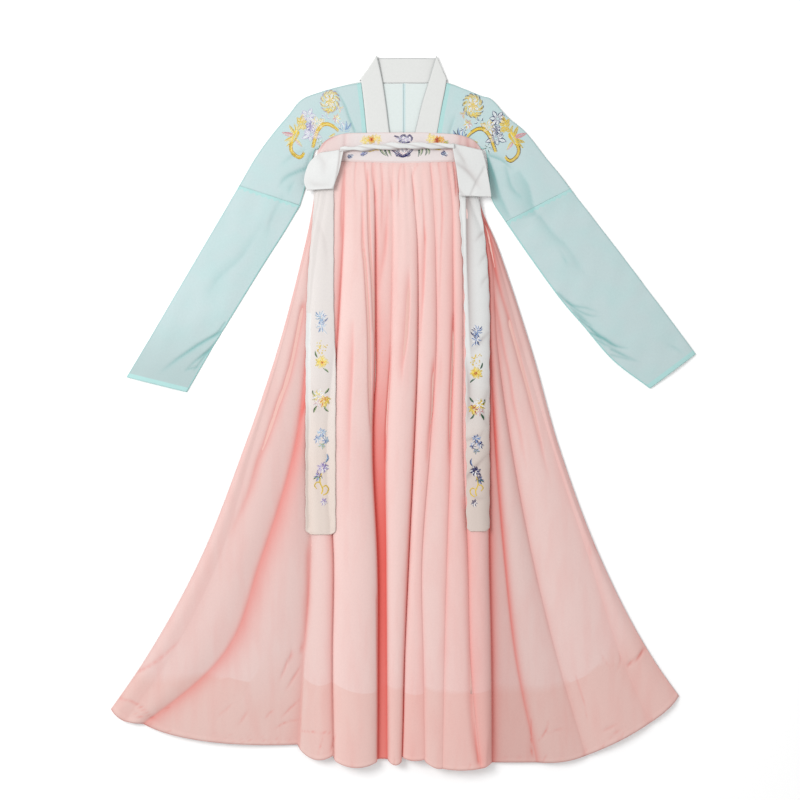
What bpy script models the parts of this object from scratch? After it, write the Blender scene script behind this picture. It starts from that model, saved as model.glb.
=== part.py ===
"""Hanfu robe, laid flat: a mint blouse under a chest-high pink skirt with white ribbon ties.

The garment lies on the plane z = 0 with its collar towards +Y and its front facing +Z.
Left and right are the wearer's, so the wearer's left is at +X. Every table is in millimetres:
"across" is measured from the garment's middle line towards +X, "along" from its middle towards the
collar, and "drop" down from the lower edge of the skirt's band.
"""
import math
from collections import namedtuple

import bmesh
import bpy
from mathutils import Vector

MM = 0.001

# ---------------------------------------------------------------- driving dimensions, millimetres
CLOTH = 1.0            # wall of the blouse, the lining and the skirt's back
SKIRT_WALL = 1.2       # wall of the gathered outer skirt
STRIP_WALL = 1.2       # wall of the doubled collar strip
BAND_WALL = 1.6        # wall of the doubled skirt band
RIBBON_WALL = 1.1      # wall of the ribbons
SEAM_GAP = 0.3         # room left between pieces that are sewn or lie together
LINING_GAP = 0.5       # room between the outer skirt and its lining
LAPEL_ROOM = 0.8       # room between the collar strip and the blouse beside it

BAND_LINE = 476.0      # "along" of the band's lower edge at the skirt's sides
BAND_SAG = 2.0         # how far that edge dips at the middle of the front
BAND_HEIGHT = 57.0     # height of the band at its middle
BAND_MIDDLE = 6.0      # height above the floor of the middle of the band's wall
HEM_TURN = 4.0         # the back's hem stops this far short of the front's

GATHER_RISE = 3.6      # height of the gathers where they are fullest
GATHER_START = 0.35    # share of that height at the band's seam
CREST_RADIUS = 3.4     # least radius of a crest, which keeps narrow folds and gathers low
GATHER_GROW = 18.0     # distance below the band over which they fill out
GATHER_FADE = 170.0    # distance below the band at which they have merged into the folds

BLOUSE_HEM = 130.0     # "along" of the blouse's hem, inside the skirt
TORSO_BED = 1.3        # the blouse's back lies this high above the floor, on the skirt's back
SLEEVE_CROWN = 3.2     # how far the upper side of a flat sleeve arches
LAPEL_LEVEL = 3.4      # middle of the collar strip's wall on the chest

# ---------------------------------------------------------------- the skirt's folds
# Drop below the band at which each fold line's place is given.
STATIONS = (0, 75, 165, 355, 545, 755, 945, 1135)
# Drop at which heights above the floor are given.
LEVELS = (0, 300, 700, 1135)

# A row for each valley between two folds, from the wearer's right side edge to the left one:
# its place across at each station, and its height above the floor at each level.
Valley = namedtuple("Valley", "name across floor")
VALLEYS = (
    Valley("right_edge", (-165, -172, -190, -240, -305, -388, -493, -628), (2.9, 2.9, 2.9, 2.9)),
    Valley("edge_roll", (-158, -166, -185, -233, -288, -352, -448, -587), (6.0, 6.0, 7.5, 8.5)),
    Valley("long_sweep", (-150, -158, -176, -204, -212, -272, -357, -526), (8.2, 8.0, 6.4, 6.4)),
    Valley("under_ribbon", (-137, -147, -163, -179, -178, -177, -190, -200), (8.6, 8.0, 6.8, 6.8)),
    Valley("crisp_right", (-112, -113, -115, -129, -129, -130, -132, -129), (8.6, 9.0, 9.0, 9.0)),
    Valley("deep_right", (-58, -55, -54, -54, -59, -51, -49, -47), (8.6, 8.6, 7.2, 7.2)),
    Valley("deep_left", (-21, -21, -21, -25, -34, -34, -33, -33), (8.6, 8.6, 7.2, 7.2)),
    Valley("crisp_middle", (13, 20, 26, 26, 19, 9, 1, -4), (8.6, 9.0, 9.0, 9.0)),
    Valley("soft_middle", (51, 56, 60, 61, 49, 32, 37, 40), (8.6, 9.5, 10.0, 10.0)),
    Valley("soft_left", (84, 92, 93, 93, 88, 81, 74, 71), (8.6, 10.0, 13.0, 17.0)),
    Valley("shadow_left", (98, 106, 111, 112, 112, 121, 126, 144), (8.6, 9.5, 11.0, 11.0)),
    Valley("crisp_left", (112, 121, 152, 162, 165, 162, 163, 163), (8.6, 8.0, 7.0, 7.0)),
    Valley("beside_left", (121, 128, 160, 171, 178, 191, 214, 236), (8.6, 8.0, 7.2, 7.2)),
    Valley("panel_left", (128, 134, 167, 200, 227, 259, 296, 353), (8.0, 8.0, 6.8, 6.8)),
    Valley("hip_left", (134, 139, 173, 233, 287, 359, 418, 505), (6.0, 6.4, 7.0, 8.0)),
    Valley("left_edge", (139, 144, 180, 242, 296, 375, 475, 617), (2.9, 2.9, 2.9, 2.9)),
)

# A row for each fold between two valleys: columns of the mesh across it, gathers at the band, how
# sharp its sides are, its crest's height at each level, and the drop of its hem (right, crest, left).
Fold = namedtuple("Fold", "name columns gathers sharp crest hem")
FOLDS = (
    Fold("edge_right", 4, 1, 1.3, (6.0, 7.0, 11.0, 9.5), (1037, 1050, 1059)),
    Fold("sweep_right", 5, 1, 1.8, (8.4, 9.0, 14.0, 13.0), (1059, 1069, 1075)),
    Fold("panel_right", 8, 2, 1.5, (8.8, 12.0, 18.0, 15.0), (1075, 1097, 1103)),
    Fold("under_ribbon", 8, 2, 1.15, (8.9, 15.0, 22.0, 23.0), (1110, 1130, 1121)),
    Fold("broad_middle", 10, 2, 1.1, (9.0, 24.0, 34.0, 36.0), (1131, 1143, 1134)),
    Fold("deep_bottom", 6, 2, 1.6, (9.0, 12.0, 8.2, 8.0), (1131, 1130, 1131)),
    Fold("centre", 12, 3, 1.2, (9.0, 22.0, 26.0, 24.0), (1131, 1140, 1134)),
    Fold("narrow_centre", 8, 2, 1.25, (9.0, 19.0, 25.0, 25.0), (1126, 1131, 1128)),
    Fold("left_of_centre", 6, 1, 1.3, (9.0, 18.0, 24.0, 27.0), (1132, 1143, 1145)),
    Fold("soft_left", 6, 1, 1.5, (9.0, 18.0, 25.0, 29.0), (1145, 1148, 1145)),
    Fold("under_streamer", 8, 1, 1.3, (9.0, 18.0, 26.0, 28.0), (1145, 1142, 1137)),
    Fold("in_shadow", 4, 1, 1.8, (8.8, 9.0, 9.5, 9.0), (1137, 1137, 1137)),
    Fold("panel_left", 7, 1, 1.7, (8.6, 12.0, 18.0, 16.0), (1137, 1135, 1124)),
    Fold("sweep_left", 7, 1, 1.8, (7.6, 9.0, 16.0, 15.0), (1124, 1095, 1062)),
    Fold("edge_left", 5, 1, 1.3, (6.0, 7.6, 12.0, 10.5), (1062, 1038, 1012)),
)
# Rows of the skirt, as shares of the way from the band to the hem, and the lining's last row.
SKIRT_ROWS = (0.0, 0.022, 0.06, 0.12, 0.20, 0.29, 0.39, 0.50, 0.62, 0.75, 0.885, 0.945, 1.0)
LINING_ROWS = 10
FOLD_BUNCHING = 0.55   # how far mesh columns crowd towards the valleys, 0 for evenly spaced

# The skirt's back: its hem's drop at places across.
BACK_HEM_ACROSS = (-560, -525, -470, -334, -200, -60, 165, 250, 350, 415, 477, 520)
BACK_HEM_DROP = (1012, 1046, 1062, 1088, 1096, 1122, 1128, 1122, 1108, 1086, 1050, 1000)

# ---------------------------------------------------------------- the band
# A row for each column of the band: place across, upper edge and lower edge above the band line,
# and the height of the middle of its wall above the floor.
BandColumn = namedtuple("BandColumn", "across upper lower level")
BAND_COLUMNS = (
    BandColumn(-164.5, 21.0, 0.0, 3.4),
    BandColumn(-160, 29.0, 0.5, 5.0),
    BandColumn(-154, 37.0, 1.0, BAND_MIDDLE),
    BandColumn(-141, 46.5, 2.0, BAND_MIDDLE),
    BandColumn(-126, 52.0, 2.5, BAND_MIDDLE),
    BandColumn(-110, 55.5, 2.0, BAND_MIDDLE),
    BandColumn(-80, 56.5, 0.5, BAND_MIDDLE),
    BandColumn(-45, BAND_HEIGHT, -1.0, BAND_MIDDLE),
    BandColumn(-5, BAND_HEIGHT, -BAND_SAG, BAND_MIDDLE),
    BandColumn(35, BAND_HEIGHT, -1.0, BAND_MIDDLE),
    BandColumn(70, 55.5, 0.5, BAND_MIDDLE),
    BandColumn(98, 53.5, 1.5, BAND_MIDDLE),
    BandColumn(118, 49.0, 2.0, BAND_MIDDLE),
    BandColumn(131, 43.0, 1.5, BAND_MIDDLE),
    BandColumn(139, 36.0, 1.0, BAND_MIDDLE),
    BandColumn(144.5, 29.0, 0.5, 5.0),
    BandColumn(148.5, 21.0, 0.0, 3.4),
)

# ---------------------------------------------------------------- the blouse
# A row for each line across a half of the blouse, from its middle out to the mid-sleeve seam: the
# point on the neck, shoulder or outer sleeve edge, the point level with the armpit or on the inner
# sleeve edge, the hem's place across on the body (None on the arm), the bed the back lies on at the
# two points, and the front's share of the sleeve's crown.
Rib = namedtuple("Rib", "top yoke hem bed crown")
MIDDLE_RIGHT = (
    Rib((-0.2, 626.5), (-0.2, 514), -0.2, (TORSO_BED, TORSO_BED), 0),
    Rib((-40, 626.5), (-39, 514), -38, (TORSO_BED, TORSO_BED), 0),
    Rib((-81.5, 629.5), (-79, 514), -76, (TORSO_BED, TORSO_BED), 0),
)
ARM_RIGHT = (
    Rib((-120, 621.0), (-114, 514), -110, (TORSO_BED, TORSO_BED), 0.1),
    Rib((-160, 609.5), (-149, 512.5), -143, (TORSO_BED, TORSO_BED), 0.2),
    Rib((-195, 595), (-156, 508), None, (TORSO_BED, TORSO_BED), 0.4),
    Rib((-221, 564), (-163.5, 502), None, (1.0, TORSO_BED), 0.6),
    Rib((-249, 531), (-171, 495), None, (0.4, TORSO_BED), 0.8),
    Rib((-281, 487), (-186, 434), None, (0.0, 0.0), 1.0),
    Rib((-313, 432), (-197.5, 394.5), None, (0.0, 0.0), 1.0),
)
MIDDLE_LEFT = (
    Rib((0.2, 626.5), (0.2, 514), 0.2, (TORSO_BED, TORSO_BED), 0),
    Rib((40, 626.5), (39, 514), 38, (TORSO_BED, TORSO_BED), 0),
    Rib((83.5, 627.5), (76, 514), 72, (TORSO_BED, TORSO_BED), 0),
)
ARM_LEFT = (
    Rib((114, 616.0), (104, 514), 97, (TORSO_BED, TORSO_BED), 0.1),
    Rib((146, 603.0), (131, 513), 118, (TORSO_BED, TORSO_BED), 0.2),
    Rib((167, 595.5), (137, 509), None, (TORSO_BED, TORSO_BED), 0.4),
    Rib((196, 563), (146, 503), None, (1.0, TORSO_BED), 0.6),
    Rib((231, 534), (156, 495), None, (0.4, TORSO_BED), 0.8),
    Rib((268, 487), (161, 450), None, (0.0, 0.0), 1.0),
    Rib((293, 457), (167, 406), None, (0.0, 0.0), 1.0),
    Rib((316.5, 426), (193.5, 363), None, (0.0, 0.0), 1.0),
)
YOKE_SHARES = (0.0, 0.14, 0.34, 0.56, 0.8, 1.0)   # rows from the shoulder to the armpit
BODY_SHARES = (0.5, 1.0)                          # rows on from there to the hem
NECK_POINT = 627.5     # along of the front's corner beside the collar
NECK_RIB_SHARE = 0.4   # the front's second line lies this far from the neck towards the arm

# The collar strip's seamed and free edges on each side, a row for each height on the lapel:
# along, across of the seamed edge, across of the free edge, level of the strip's middle.
Lapel = namedtuple("Lapel", "along seam free_along free level")
LAPEL_RIGHT = (
    Lapel(BLOUSE_HEM, -58.9, BLOUSE_HEM, -10.6, LAPEL_LEVEL),
    Lapel(300, -58.9, 300, -10.6, LAPEL_LEVEL),
    Lapel(424, -59.5, 424, -11.5, LAPEL_LEVEL),
    Lapel(482, -64.0, 482, -17.0, LAPEL_LEVEL),
    Lapel(531, -70.0, 531, -27.0, LAPEL_LEVEL),
    Lapel(577, -74.5, 585, -34.0, LAPEL_LEVEL + 0.1),
    Lapel(615, -79.0, 634, -41.5, LAPEL_LEVEL + 0.4),
)
LAPEL_LEFT = (
    Lapel(BLOUSE_HEM, 41.0, BLOUSE_HEM, -9.6, LAPEL_LEVEL),
    Lapel(300, 41.0, 300, -9.6, LAPEL_LEVEL),
    Lapel(424, 42.0, 424, -8.5, LAPEL_LEVEL),
    Lapel(482, 51.0, 482, 5.0, LAPEL_LEVEL),
    Lapel(531, 62.0, 531, 20.0, LAPEL_LEVEL),
    Lapel(577, 70.0, 585, 33.0, LAPEL_LEVEL + 0.1),
    Lapel(615, 77.5, 634, 48.0, LAPEL_LEVEL + 0.4),
)
# Where the strip folds over at the side of the neck, and its run behind the neck.
NECK_FOLD_RIGHT = ((-81.0, 631.5), (-50.5, 675.0))
NECK_FOLD_LEFT = ((79.5, 631.0), (60.0, 674.5))
NECK_BACK = ((-40, 628.0, -34, 675.0), (0, 628.0, 3, 675.5), (42, 628.0, 40, 675.0))
NECK_FOLD_RADIUS = 1.35
NECK_BACK_LEVELS = (1.9, 0.7)     # of the seamed and the free edge behind the neck

# Lower sleeves: a row for each section, its outer edge and its inner edge.
Section = namedtuple("Section", "outer inner")
SLEEVE_RIGHT = (
    Section((-313.5, 431.5), (-198.0, 394.0)),
    Section((-346, 376), (-229, 342)),
    Section((-383, 313), (-268, 281)),
    Section((-430, 233), (-316, 203)),
    Section((-478, 151), (-363, 126)),
    Section((-527, 69), (-412.5, 40.5)),
)
SLEEVE_LEFT = (
    Section((316.9, 425.4), (193.9, 362.4)),
    Section((366, 362), (244, 290)),
    Section((420, 292), (298, 216)),
    Section((462, 236), (340, 167)),
    Section((506, 178), (397, 101)),
    Section((554, 113), (467, 47.5)),
)
# The flat tube's profile: share of the way from the outer to the inner edge, distance in from the
# nearer edge, and height as a base plus a share of the crown.
Ring = namedtuple("Ring", "share inset base crown")
SLEEVE_RING = (
    Ring(0.0, 0.0, 1.3, 0.0),
    Ring(0.0, 1.3, 0.0, 0.0),
    Ring(0.33, 0.0, 0.0, 0.0),
    Ring(0.67, 0.0, 0.0, 0.0),
    Ring(1.0, 1.3, 0.0, 0.0),
    Ring(1.0, 0.0, 1.3, 0.0),
    Ring(1.0, 1.3, 2.5, 0.0),
    Ring(0.88, 0.0, 2.5, 0.42),
    Ring(0.68, 0.0, 2.5, 0.88),
    Ring(0.5, 0.0, 2.5, 1.0),
    Ring(0.32, 0.0, 2.5, 0.88),
    Ring(0.12, 0.0, 2.5, 0.42),
    Ring(0.0, 1.3, 2.5, 0.0),
)

# ---------------------------------------------------------------- ties and ribbons
TIE_START, TIE_END = (-112, 504), (89, 508)
TIE_RADIUS, TIE_SQUASH, TIE_LOBE = 6.2, 0.55, 0.2
TIE_TURNS = 1.6
TIE_LEVEL = BAND_MIDDLE + BAND_WALL / 2 + 0.4 + TIE_RADIUS * (1 + TIE_LOBE) * TIE_SQUASH

# Loops: a row for each crosswise line, its outer and inner ends and its height above the floor.
Strip = namedtuple("Strip", "first last level")
LOOP_RIGHT_FRONT = (
    Strip((-160, 494), (-114, 501), (8.4, 9.0)),
    Strip((-178, 477), (-117, 484), (11.0, 16.5)),
    Strip((-187, 455), (-122, 460), (13.5, 19.0)),
    Strip((-189, 437), (-128, 442), (14.0, 19.0)),
    Strip((-184, 423.5), (-133, 426), (14.5, 19.0)),
)
LOOP_LEFT_FRONT = (
    Strip((91, 512), (148, 499), (10.2, 8.6)),
    Strip((95, 485), (154, 477), (16.5, 11.5)),
    Strip((99, 462), (158, 455), (20.0, 16.0)),
    Strip((102, 436), (162, 432), (20.5, 17.0)),
    Strip((105, 413), (165, 411), (20.5, 17.5)),
)
LOOP_GAP = 1.9         # room between a loop's two layers
LOOP_BACK_LENGTH = 34  # how far the under layer runs back up
LOOP_BACK_SHARE = 0.8  # and the share of its width that it narrows to

# Streamers: a row for each crosswise line, from under the loop to the square end.
Edge = namedtuple("Edge", "along outer inner")
STREAMER_RIGHT = (
    Edge(440, -168, -131), Edge(418, -170, -133), Edge(380, -172, -133), Edge(330, -176, -133),
    Edge(275, -181, -133), Edge(216, -184, -133), Edge(150, -186, -131), Edge(85, -186, -129),
    Edge(20, -186, -129), Edge(-45, -186, -129), Edge(-110, -186, -129), Edge(-170, -186, -129),
    Edge(-222, -186, -129), Edge(-228, -183, -132),
)
STREAMER_LEFT = (
    Edge(430, 106, 140), Edge(402, 105, 143), Edge(360, 107, 150), Edge(310, 110, 156),
    Edge(260, 113, 160), Edge(216, 114, 162), Edge(150, 116, 163), Edge(85, 116, 162),
    Edge(20, 117, 163), Edge(-45, 117, 162), Edge(-110, 118, 163), Edge(-170, 118, 162),
    Edge(-216, 119, 162), Edge(-222, 121, 160),
)
STREAMER_COLUMNS = 6
RIBBON_REACH = 5.0     # a ribbon bridges hollows narrower than about twice this
RIBBON_CLEAR = 0.5     # and lies this far above the cloth

# ---------------------------------------------------------------- materials
# Colour, roughness of each cloth.
CLOTHS = {
    "mint chiffon": ((0.64, 0.80, 0.79), 0.75),
    "pink chiffon": ((0.87, 0.58, 0.54), 0.72),
    "pink lining": ((0.88, 0.66, 0.61), 0.65),
    "pink band satin": ((0.84, 0.70, 0.68), 0.55),
    "white collar cloth": ((0.80, 0.80, 0.80), 0.60),
    "white ribbon cloth": ((0.82, 0.80, 0.78), 0.58),
}


def clear_scene():
    """Take everything out of the scene."""
    for item in list(bpy.data.objects):
        bpy.data.objects.remove(item, do_unlink=True)


def cloth_material(name):
    """A plain matt cloth of the named colour."""
    colour, roughness = CLOTHS[name]
    material = bpy.data.materials.new(name)
    material.use_nodes = True
    shader = material.node_tree.nodes["Principled BSDF"]
    shader.inputs["Base Color"].default_value = (*colour, 1.0)
    shader.inputs["Roughness"].default_value = roughness
    shader.inputs["Metallic"].default_value = 0.0
    return material


def between(a, b, share):
    """The value or point at a share of the way from a to b."""
    if isinstance(a, (tuple, list)):
        return tuple(between(p, q, share) for p, q in zip(a, b))
    return a + (b - a) * share


def eased(share):
    """A share from 0 to 1 with soft ends."""
    share = min(max(share, 0.0), 1.0)
    return share * share * (3 - 2 * share)


def through(places, values, at):
    """A smooth curve through values at places, read at one place."""
    last = len(places) - 1
    step = 0
    while step < last - 1 and at > places[step + 1]:
        step += 1

    def slope(i):
        lower, upper = max(i - 1, 0), min(i + 1, last)
        return (values[upper] - values[lower]) / (places[upper] - places[lower])

    width = places[step + 1] - places[step]
    t = (at - places[step]) / width
    if t > 1 or t < 0:
        end = step + 1 if t > 1 else step
        return values[end] + slope(end) * (at - places[end])
    start, finish = values[step], values[step + 1]
    rise_in, rise_out = slope(step) * width, slope(step + 1) * width
    return ((2 * t ** 3 - 3 * t ** 2 + 1) * start + (t ** 3 - 2 * t ** 2 + t) * rise_in
            + (3 * t ** 2 - 2 * t ** 3) * finish + (t ** 3 - t ** 2) * rise_out)


# ---------------------------------------------------------------- the form of the folded skirt
def valley_across(index, drop):
    return through(STATIONS, VALLEYS[index].across, drop)


def valley_floor(index, drop):
    return through(LEVELS, VALLEYS[index].floor, drop)


def gather_height(index, drop):
    """Height of one fold's fine gathers, fullest just below the band."""
    width = (valley_across(index + 1, drop) - valley_across(index, drop)) / FOLDS[index].gathers
    rise = min(GATHER_RISE, width ** 2 / (2 * math.pi ** 2 * CREST_RADIUS))
    filling = GATHER_START + (1 - GATHER_START) * (1 - math.exp(-drop / GATHER_GROW))
    return rise * filling * math.exp(-(drop / GATHER_FADE) ** 2)


def skirt_height(index, share, drop):
    """Height of the skirt's outer face at a share of the way across one fold."""
    fold = FOLDS[index]
    low = between(valley_floor(index, drop), valley_floor(index + 1, drop), eased(share))
    width = valley_across(index + 1, drop) - valley_across(index, drop)
    roundest = width ** 2 / (fold.sharp * math.pi ** 2 * CREST_RADIUS)
    rise = min(through(LEVELS, fold.crest, drop) - low, roundest)
    arch = math.sin(math.pi * share) ** fold.sharp
    gather = math.sin(math.pi * fold.gathers * share) ** 2
    edge = min(low / 8.0, 1.0)
    return low + rise * arch + gather_height(index, drop) * gather * edge


def band_dip(across):
    """How far the band's lower edge lies below the band line."""
    half = 160.0
    return BAND_SAG * max(0.0, 1 - (across / half) ** 2) + SEAM_GAP


def skirt_point(index, share, way):
    """A point of the skirt's outer face: fold, share across it, and way from band to hem."""
    right, crest, left = FOLDS[index].hem
    hem = right * (1 - share) * (1 - 2 * share) + 4 * crest * share * (1 - share) \
        + left * share * (2 * share - 1)
    drop = hem * way
    across = between(valley_across(index, drop), valley_across(index + 1, drop), share)
    along = BAND_LINE - drop - band_dip(across) * (1 - way)
    return (across, along, skirt_height(index, share, drop))


def skirt_columns():
    """Fold and share across it for each column of the skirt's mesh."""
    columns = []
    for index, fold in enumerate(FOLDS):
        for step in range(fold.columns):
            t = step / fold.columns
            spread = FOLD_BUNCHING if fold.gathers == 1 else FOLD_BUNCHING / 2
            columns.append((index, t - spread * math.sin(2 * math.pi * t) / (2 * math.pi)))
    columns.append((len(FOLDS) - 1, 1.0))
    return columns


def skirt_height_at(across, along):
    """Height of the skirt's outer face above a place on the floor."""
    drop = BAND_LINE - along
    for index in range(len(FOLDS)):
        start, finish = valley_across(index, drop), valley_across(index + 1, drop)
        if start <= across <= finish:
            return skirt_height(index, (across - start) / (finish - start), drop)
    return 0.0


def highest_near(across, along, reach):
    """The highest the skirt's outer face comes within reach of a place."""
    steps = (-1.0, -0.5, 0.0, 0.5, 1.0)
    return max(skirt_height_at(across + i * reach, along + j * 2 * reach) for i in steps for j in steps)


# ---------------------------------------------------------------- making solids
def bent_grid(columns, rows, place, closed=False, leave_out=None):
    """A grid bent into shape: place(column, row) gives each corner in millimetres."""
    grid = bmesh.new()
    bmesh.ops.create_grid(grid, x_segments=columns, y_segments=rows, size=0.5)
    unused = []
    for corner in grid.verts:
        column = round((corner.co.x + 0.5) * columns)
        row = round((0.5 - corner.co.y) * rows)
        if leave_out and leave_out(column, row):
            unused.append(corner)
        else:
            corner.co = Vector(place(column, row)) * MM
    bmesh.ops.delete(grid, geom=unused, context="VERTS")
    if closed:
        bmesh.ops.remove_doubles(grid, verts=grid.verts, dist=0.00001)
    bmesh.ops.triangulate(grid, faces=grid.faces, quad_method="FIXED")
    grid.normal_update()
    return grid


def add_object(name, grid, material, collection):
    """Turn a finished grid into a named object."""
    mesh = bpy.data.meshes.new(name)
    grid.to_mesh(mesh)
    grid.free()
    mesh.shade_smooth()
    piece = bpy.data.objects.new(name, mesh)
    piece.data.materials.append(material)
    collection.objects.link(piece)
    return piece


def add_wall(name, grid, wall, offset, material, collection):
    """A cloth wall: the grid with a thickness, offset -1 below it, 0 on both sides, 1 above."""
    piece = add_object(name, grid, material, collection)
    solidify = piece.modifiers.new("Wall", "SOLIDIFY")
    solidify.thickness = wall * MM
    solidify.offset = offset
    solidify.use_even_offset = True
    return piece


def lowered(grid, distance):
    """Move a grid's corners in along their normals, keeping it parallel to where it was."""
    moves = [(corner, corner.normal * corner.calc_shell_factor()) for corner in grid.verts]
    for corner, step in moves:
        corner.co -= step * distance * MM
    grid.normal_update()
    return grid


# ---------------------------------------------------------------- the skirt
def make_skirt_front(collection, material):
    columns = skirt_columns()
    grid = bent_grid(len(columns) - 1, len(SKIRT_ROWS) - 1,
                     lambda c, r: skirt_point(*columns[c], SKIRT_ROWS[r]))
    add_wall("skirt_front", grid, SKIRT_WALL, -1, material, collection)


def make_skirt_lining(collection, material):
    """The lining follows the same folds inside, and stops short of the hem and the edge folds."""
    columns = skirt_columns()
    first = FOLDS[0].columns
    last = len(columns) - 1 - FOLDS[-1].columns

    def place(column, row):
        return skirt_point(*columns[column], SKIRT_ROWS[row])

    def outside(column, row):
        return not (first <= column <= last) or row > LINING_ROWS

    grid = lowered(bent_grid(len(columns) - 1, len(SKIRT_ROWS) - 1, place, leave_out=outside),
                   SKIRT_WALL + LINING_GAP)
    add_wall("skirt_lining", grid, CLOTH, -1, material, collection)


def make_skirt_back(collection, material):
    columns, rows = 16, 8

    def place(column, row):
        share, way = column / columns, row / rows
        guess = between(VALLEYS[0].across[-2], VALLEYS[-1].across[-2], share)
        for _ in range(4):
            hem = through(BACK_HEM_ACROSS, BACK_HEM_DROP, guess) - HEM_TURN
            start = valley_across(0, hem) + 2.5
            finish = valley_across(len(FOLDS), hem) - 2.5
            guess = between(start, finish, share)
        drop = hem * way
        start = valley_across(0, drop) + 2.5
        finish = valley_across(len(FOLDS), drop) - 2.5
        return (between(start, finish, share), BAND_LINE - SEAM_GAP - drop, CLOTH)

    add_wall("skirt_back", bent_grid(columns, rows, place), CLOTH, -1, material, collection)


def make_bands(collection, front_material, back_material):
    columns, rows = len(BAND_COLUMNS) - 1, 4

    def front(column, row):
        edge = BAND_COLUMNS[column]
        up = between(edge.upper, edge.lower, row / rows)
        return (edge.across, BAND_LINE + up, edge.level)

    def back(column, row):
        edge = BAND_COLUMNS[column]
        up = between(edge.upper, 0.0, row / rows)
        return (edge.across, BAND_LINE + up, CLOTH)

    add_wall("skirt_band_front", bent_grid(columns, rows, front), BAND_WALL, 0,
             front_material, collection)
    add_wall("skirt_band_back", bent_grid(columns, rows, back), CLOTH, -1, back_material, collection)


# ---------------------------------------------------------------- the blouse
def lapel_seam(lapel, along):
    """Across of the collar's seamed edge at a height on the chest."""
    heights = [row.along for row in lapel]
    return through(heights, [row.seam for row in lapel], along)


def make_blouse_panel(name, ribs, front, lapel, collection, material):
    """A flat half: its rows run out along the arm, and its lower rows cross the body alone."""
    side = -1 if ribs[-1].top[0] < 0 else 1
    order = ribs if side > 0 else ribs[::-1]
    last_yoke = len(YOKE_SHARES) - 1
    rows = last_yoke + len(BODY_SHARES)

    def place(column, row):
        rib = order[column]
        share = YOKE_SHARES[min(row, last_yoke)]
        across, along = between(rib.top, rib.yoke, share)
        if row > last_yoke and rib.hem is not None:
            down = BODY_SHARES[row - last_yoke - 1]
            across, along = between(rib.yoke, (rib.hem, BLOUSE_HEM), down)
        bed = between(rib.bed[0], rib.bed[1], share)
        if not front:
            return (across, along, bed + CLOTH)
        if rib is ribs[0]:
            across = lapel_seam(lapel, along) + side * LAPEL_ROOM
        crown = SLEEVE_CROWN * rib.crown * math.sin(math.pi * share) ** 0.8
        return (across, along, bed + 2 * CLOTH + SEAM_GAP + crown)

    def below_arm(column, row):
        return row > last_yoke and order[column].hem is None

    grid = bent_grid(len(ribs) - 1, rows, place, leave_out=below_arm)
    add_wall(name, grid, CLOTH, -1, material, collection)


def make_blouse(collection, material):
    for side, middle, arm, lapel in (("right", MIDDLE_RIGHT, ARM_RIGHT, LAPEL_RIGHT),
                                     ("left", MIDDLE_LEFT, ARM_LEFT, LAPEL_LEFT)):
        neck = middle[-1]._replace(top=(middle[-1].top[0], NECK_POINT), hem=lapel[0].seam)
        beside = Rib(between(neck.top, arm[0].top, NECK_RIB_SHARE),
                     between(neck.yoke, arm[0].yoke, NECK_RIB_SHARE),
                     between(neck.hem, arm[0].hem, NECK_RIB_SHARE), neck.bed, 0.05)
        make_blouse_panel("blouse_back_" + side, middle + arm, False, lapel, collection, material)
        make_blouse_panel("blouse_front_" + side, (neck, beside) + arm, True, lapel,
                          collection, material)


def make_sleeve(name, sections, collection, material):
    """A flat tube: its underside lies on the floor and its upper side arches a little."""
    rows = len(sections) - 1
    columns = len(SLEEVE_RING)
    sign = 1 if sections[0].outer[0] < 0 else -1

    def place(column, row):
        ring = SLEEVE_RING[(column * sign) % columns]
        outer, inner = sections[row]
        width = math.dist(outer, inner)
        share = ring.share + (ring.inset if ring.share < 0.5 else -ring.inset) / width
        across, along = between(outer, inner, share)
        return (across, along, ring.base + ring.crown * SLEEVE_CROWN * 0.9)

    grid = bent_grid(columns, rows, place, closed=True)
    bmesh.ops.recalc_face_normals(grid, faces=grid.faces)
    add_wall(name, grid, CLOTH, -1, material, collection)


def make_collar(collection, material):
    """One strip: up the right lapel, over at the neck, behind it, over again and down the left."""
    lines = [((row.seam, row.along, row.level), (row.free, row.free_along, row.level))
             for row in LAPEL_RIGHT]
    lines += neck_turn(NECK_FOLD_RIGHT, -1)
    seam_level, free_level = NECK_BACK_LEVELS
    lines += [((a, b, seam_level), (c, d, free_level)) for a, b, c, d in NECK_BACK]
    lines += neck_turn(NECK_FOLD_LEFT, 1)[::-1]
    lines += [((row.seam, row.along, row.level), (row.free, row.free_along, row.level))
              for row in LAPEL_LEFT[::-1]]
    columns = 3
    grid = bent_grid(columns, len(lines) - 1,
                     lambda c, r: between(lines[r][0], lines[r][1], c / columns))
    add_wall("collar", grid, STRIP_WALL, 0, material, collection)


def neck_turn(fold, side):
    """The strip turning over at the side of the neck, from the lapel to behind the neck."""
    seam, free = fold
    length = math.dist(seam, free)
    out = (side * (free[1] - seam[1]) / length, side * (seam[0] - free[0]) / length)
    top = LAPEL_LEVEL + 0.6
    lines = []
    for angle in (80, 40, 0, -40, -80):
        turn = math.radians(angle)
        push = NECK_FOLD_RADIUS * math.cos(turn)
        lift = NECK_FOLD_RADIUS * (math.sin(turn) - 1) + top
        lines.append(tuple((x + out[0] * push, y + out[1] * push, lift) for x, y in (seam, free)))
    return lines


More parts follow.
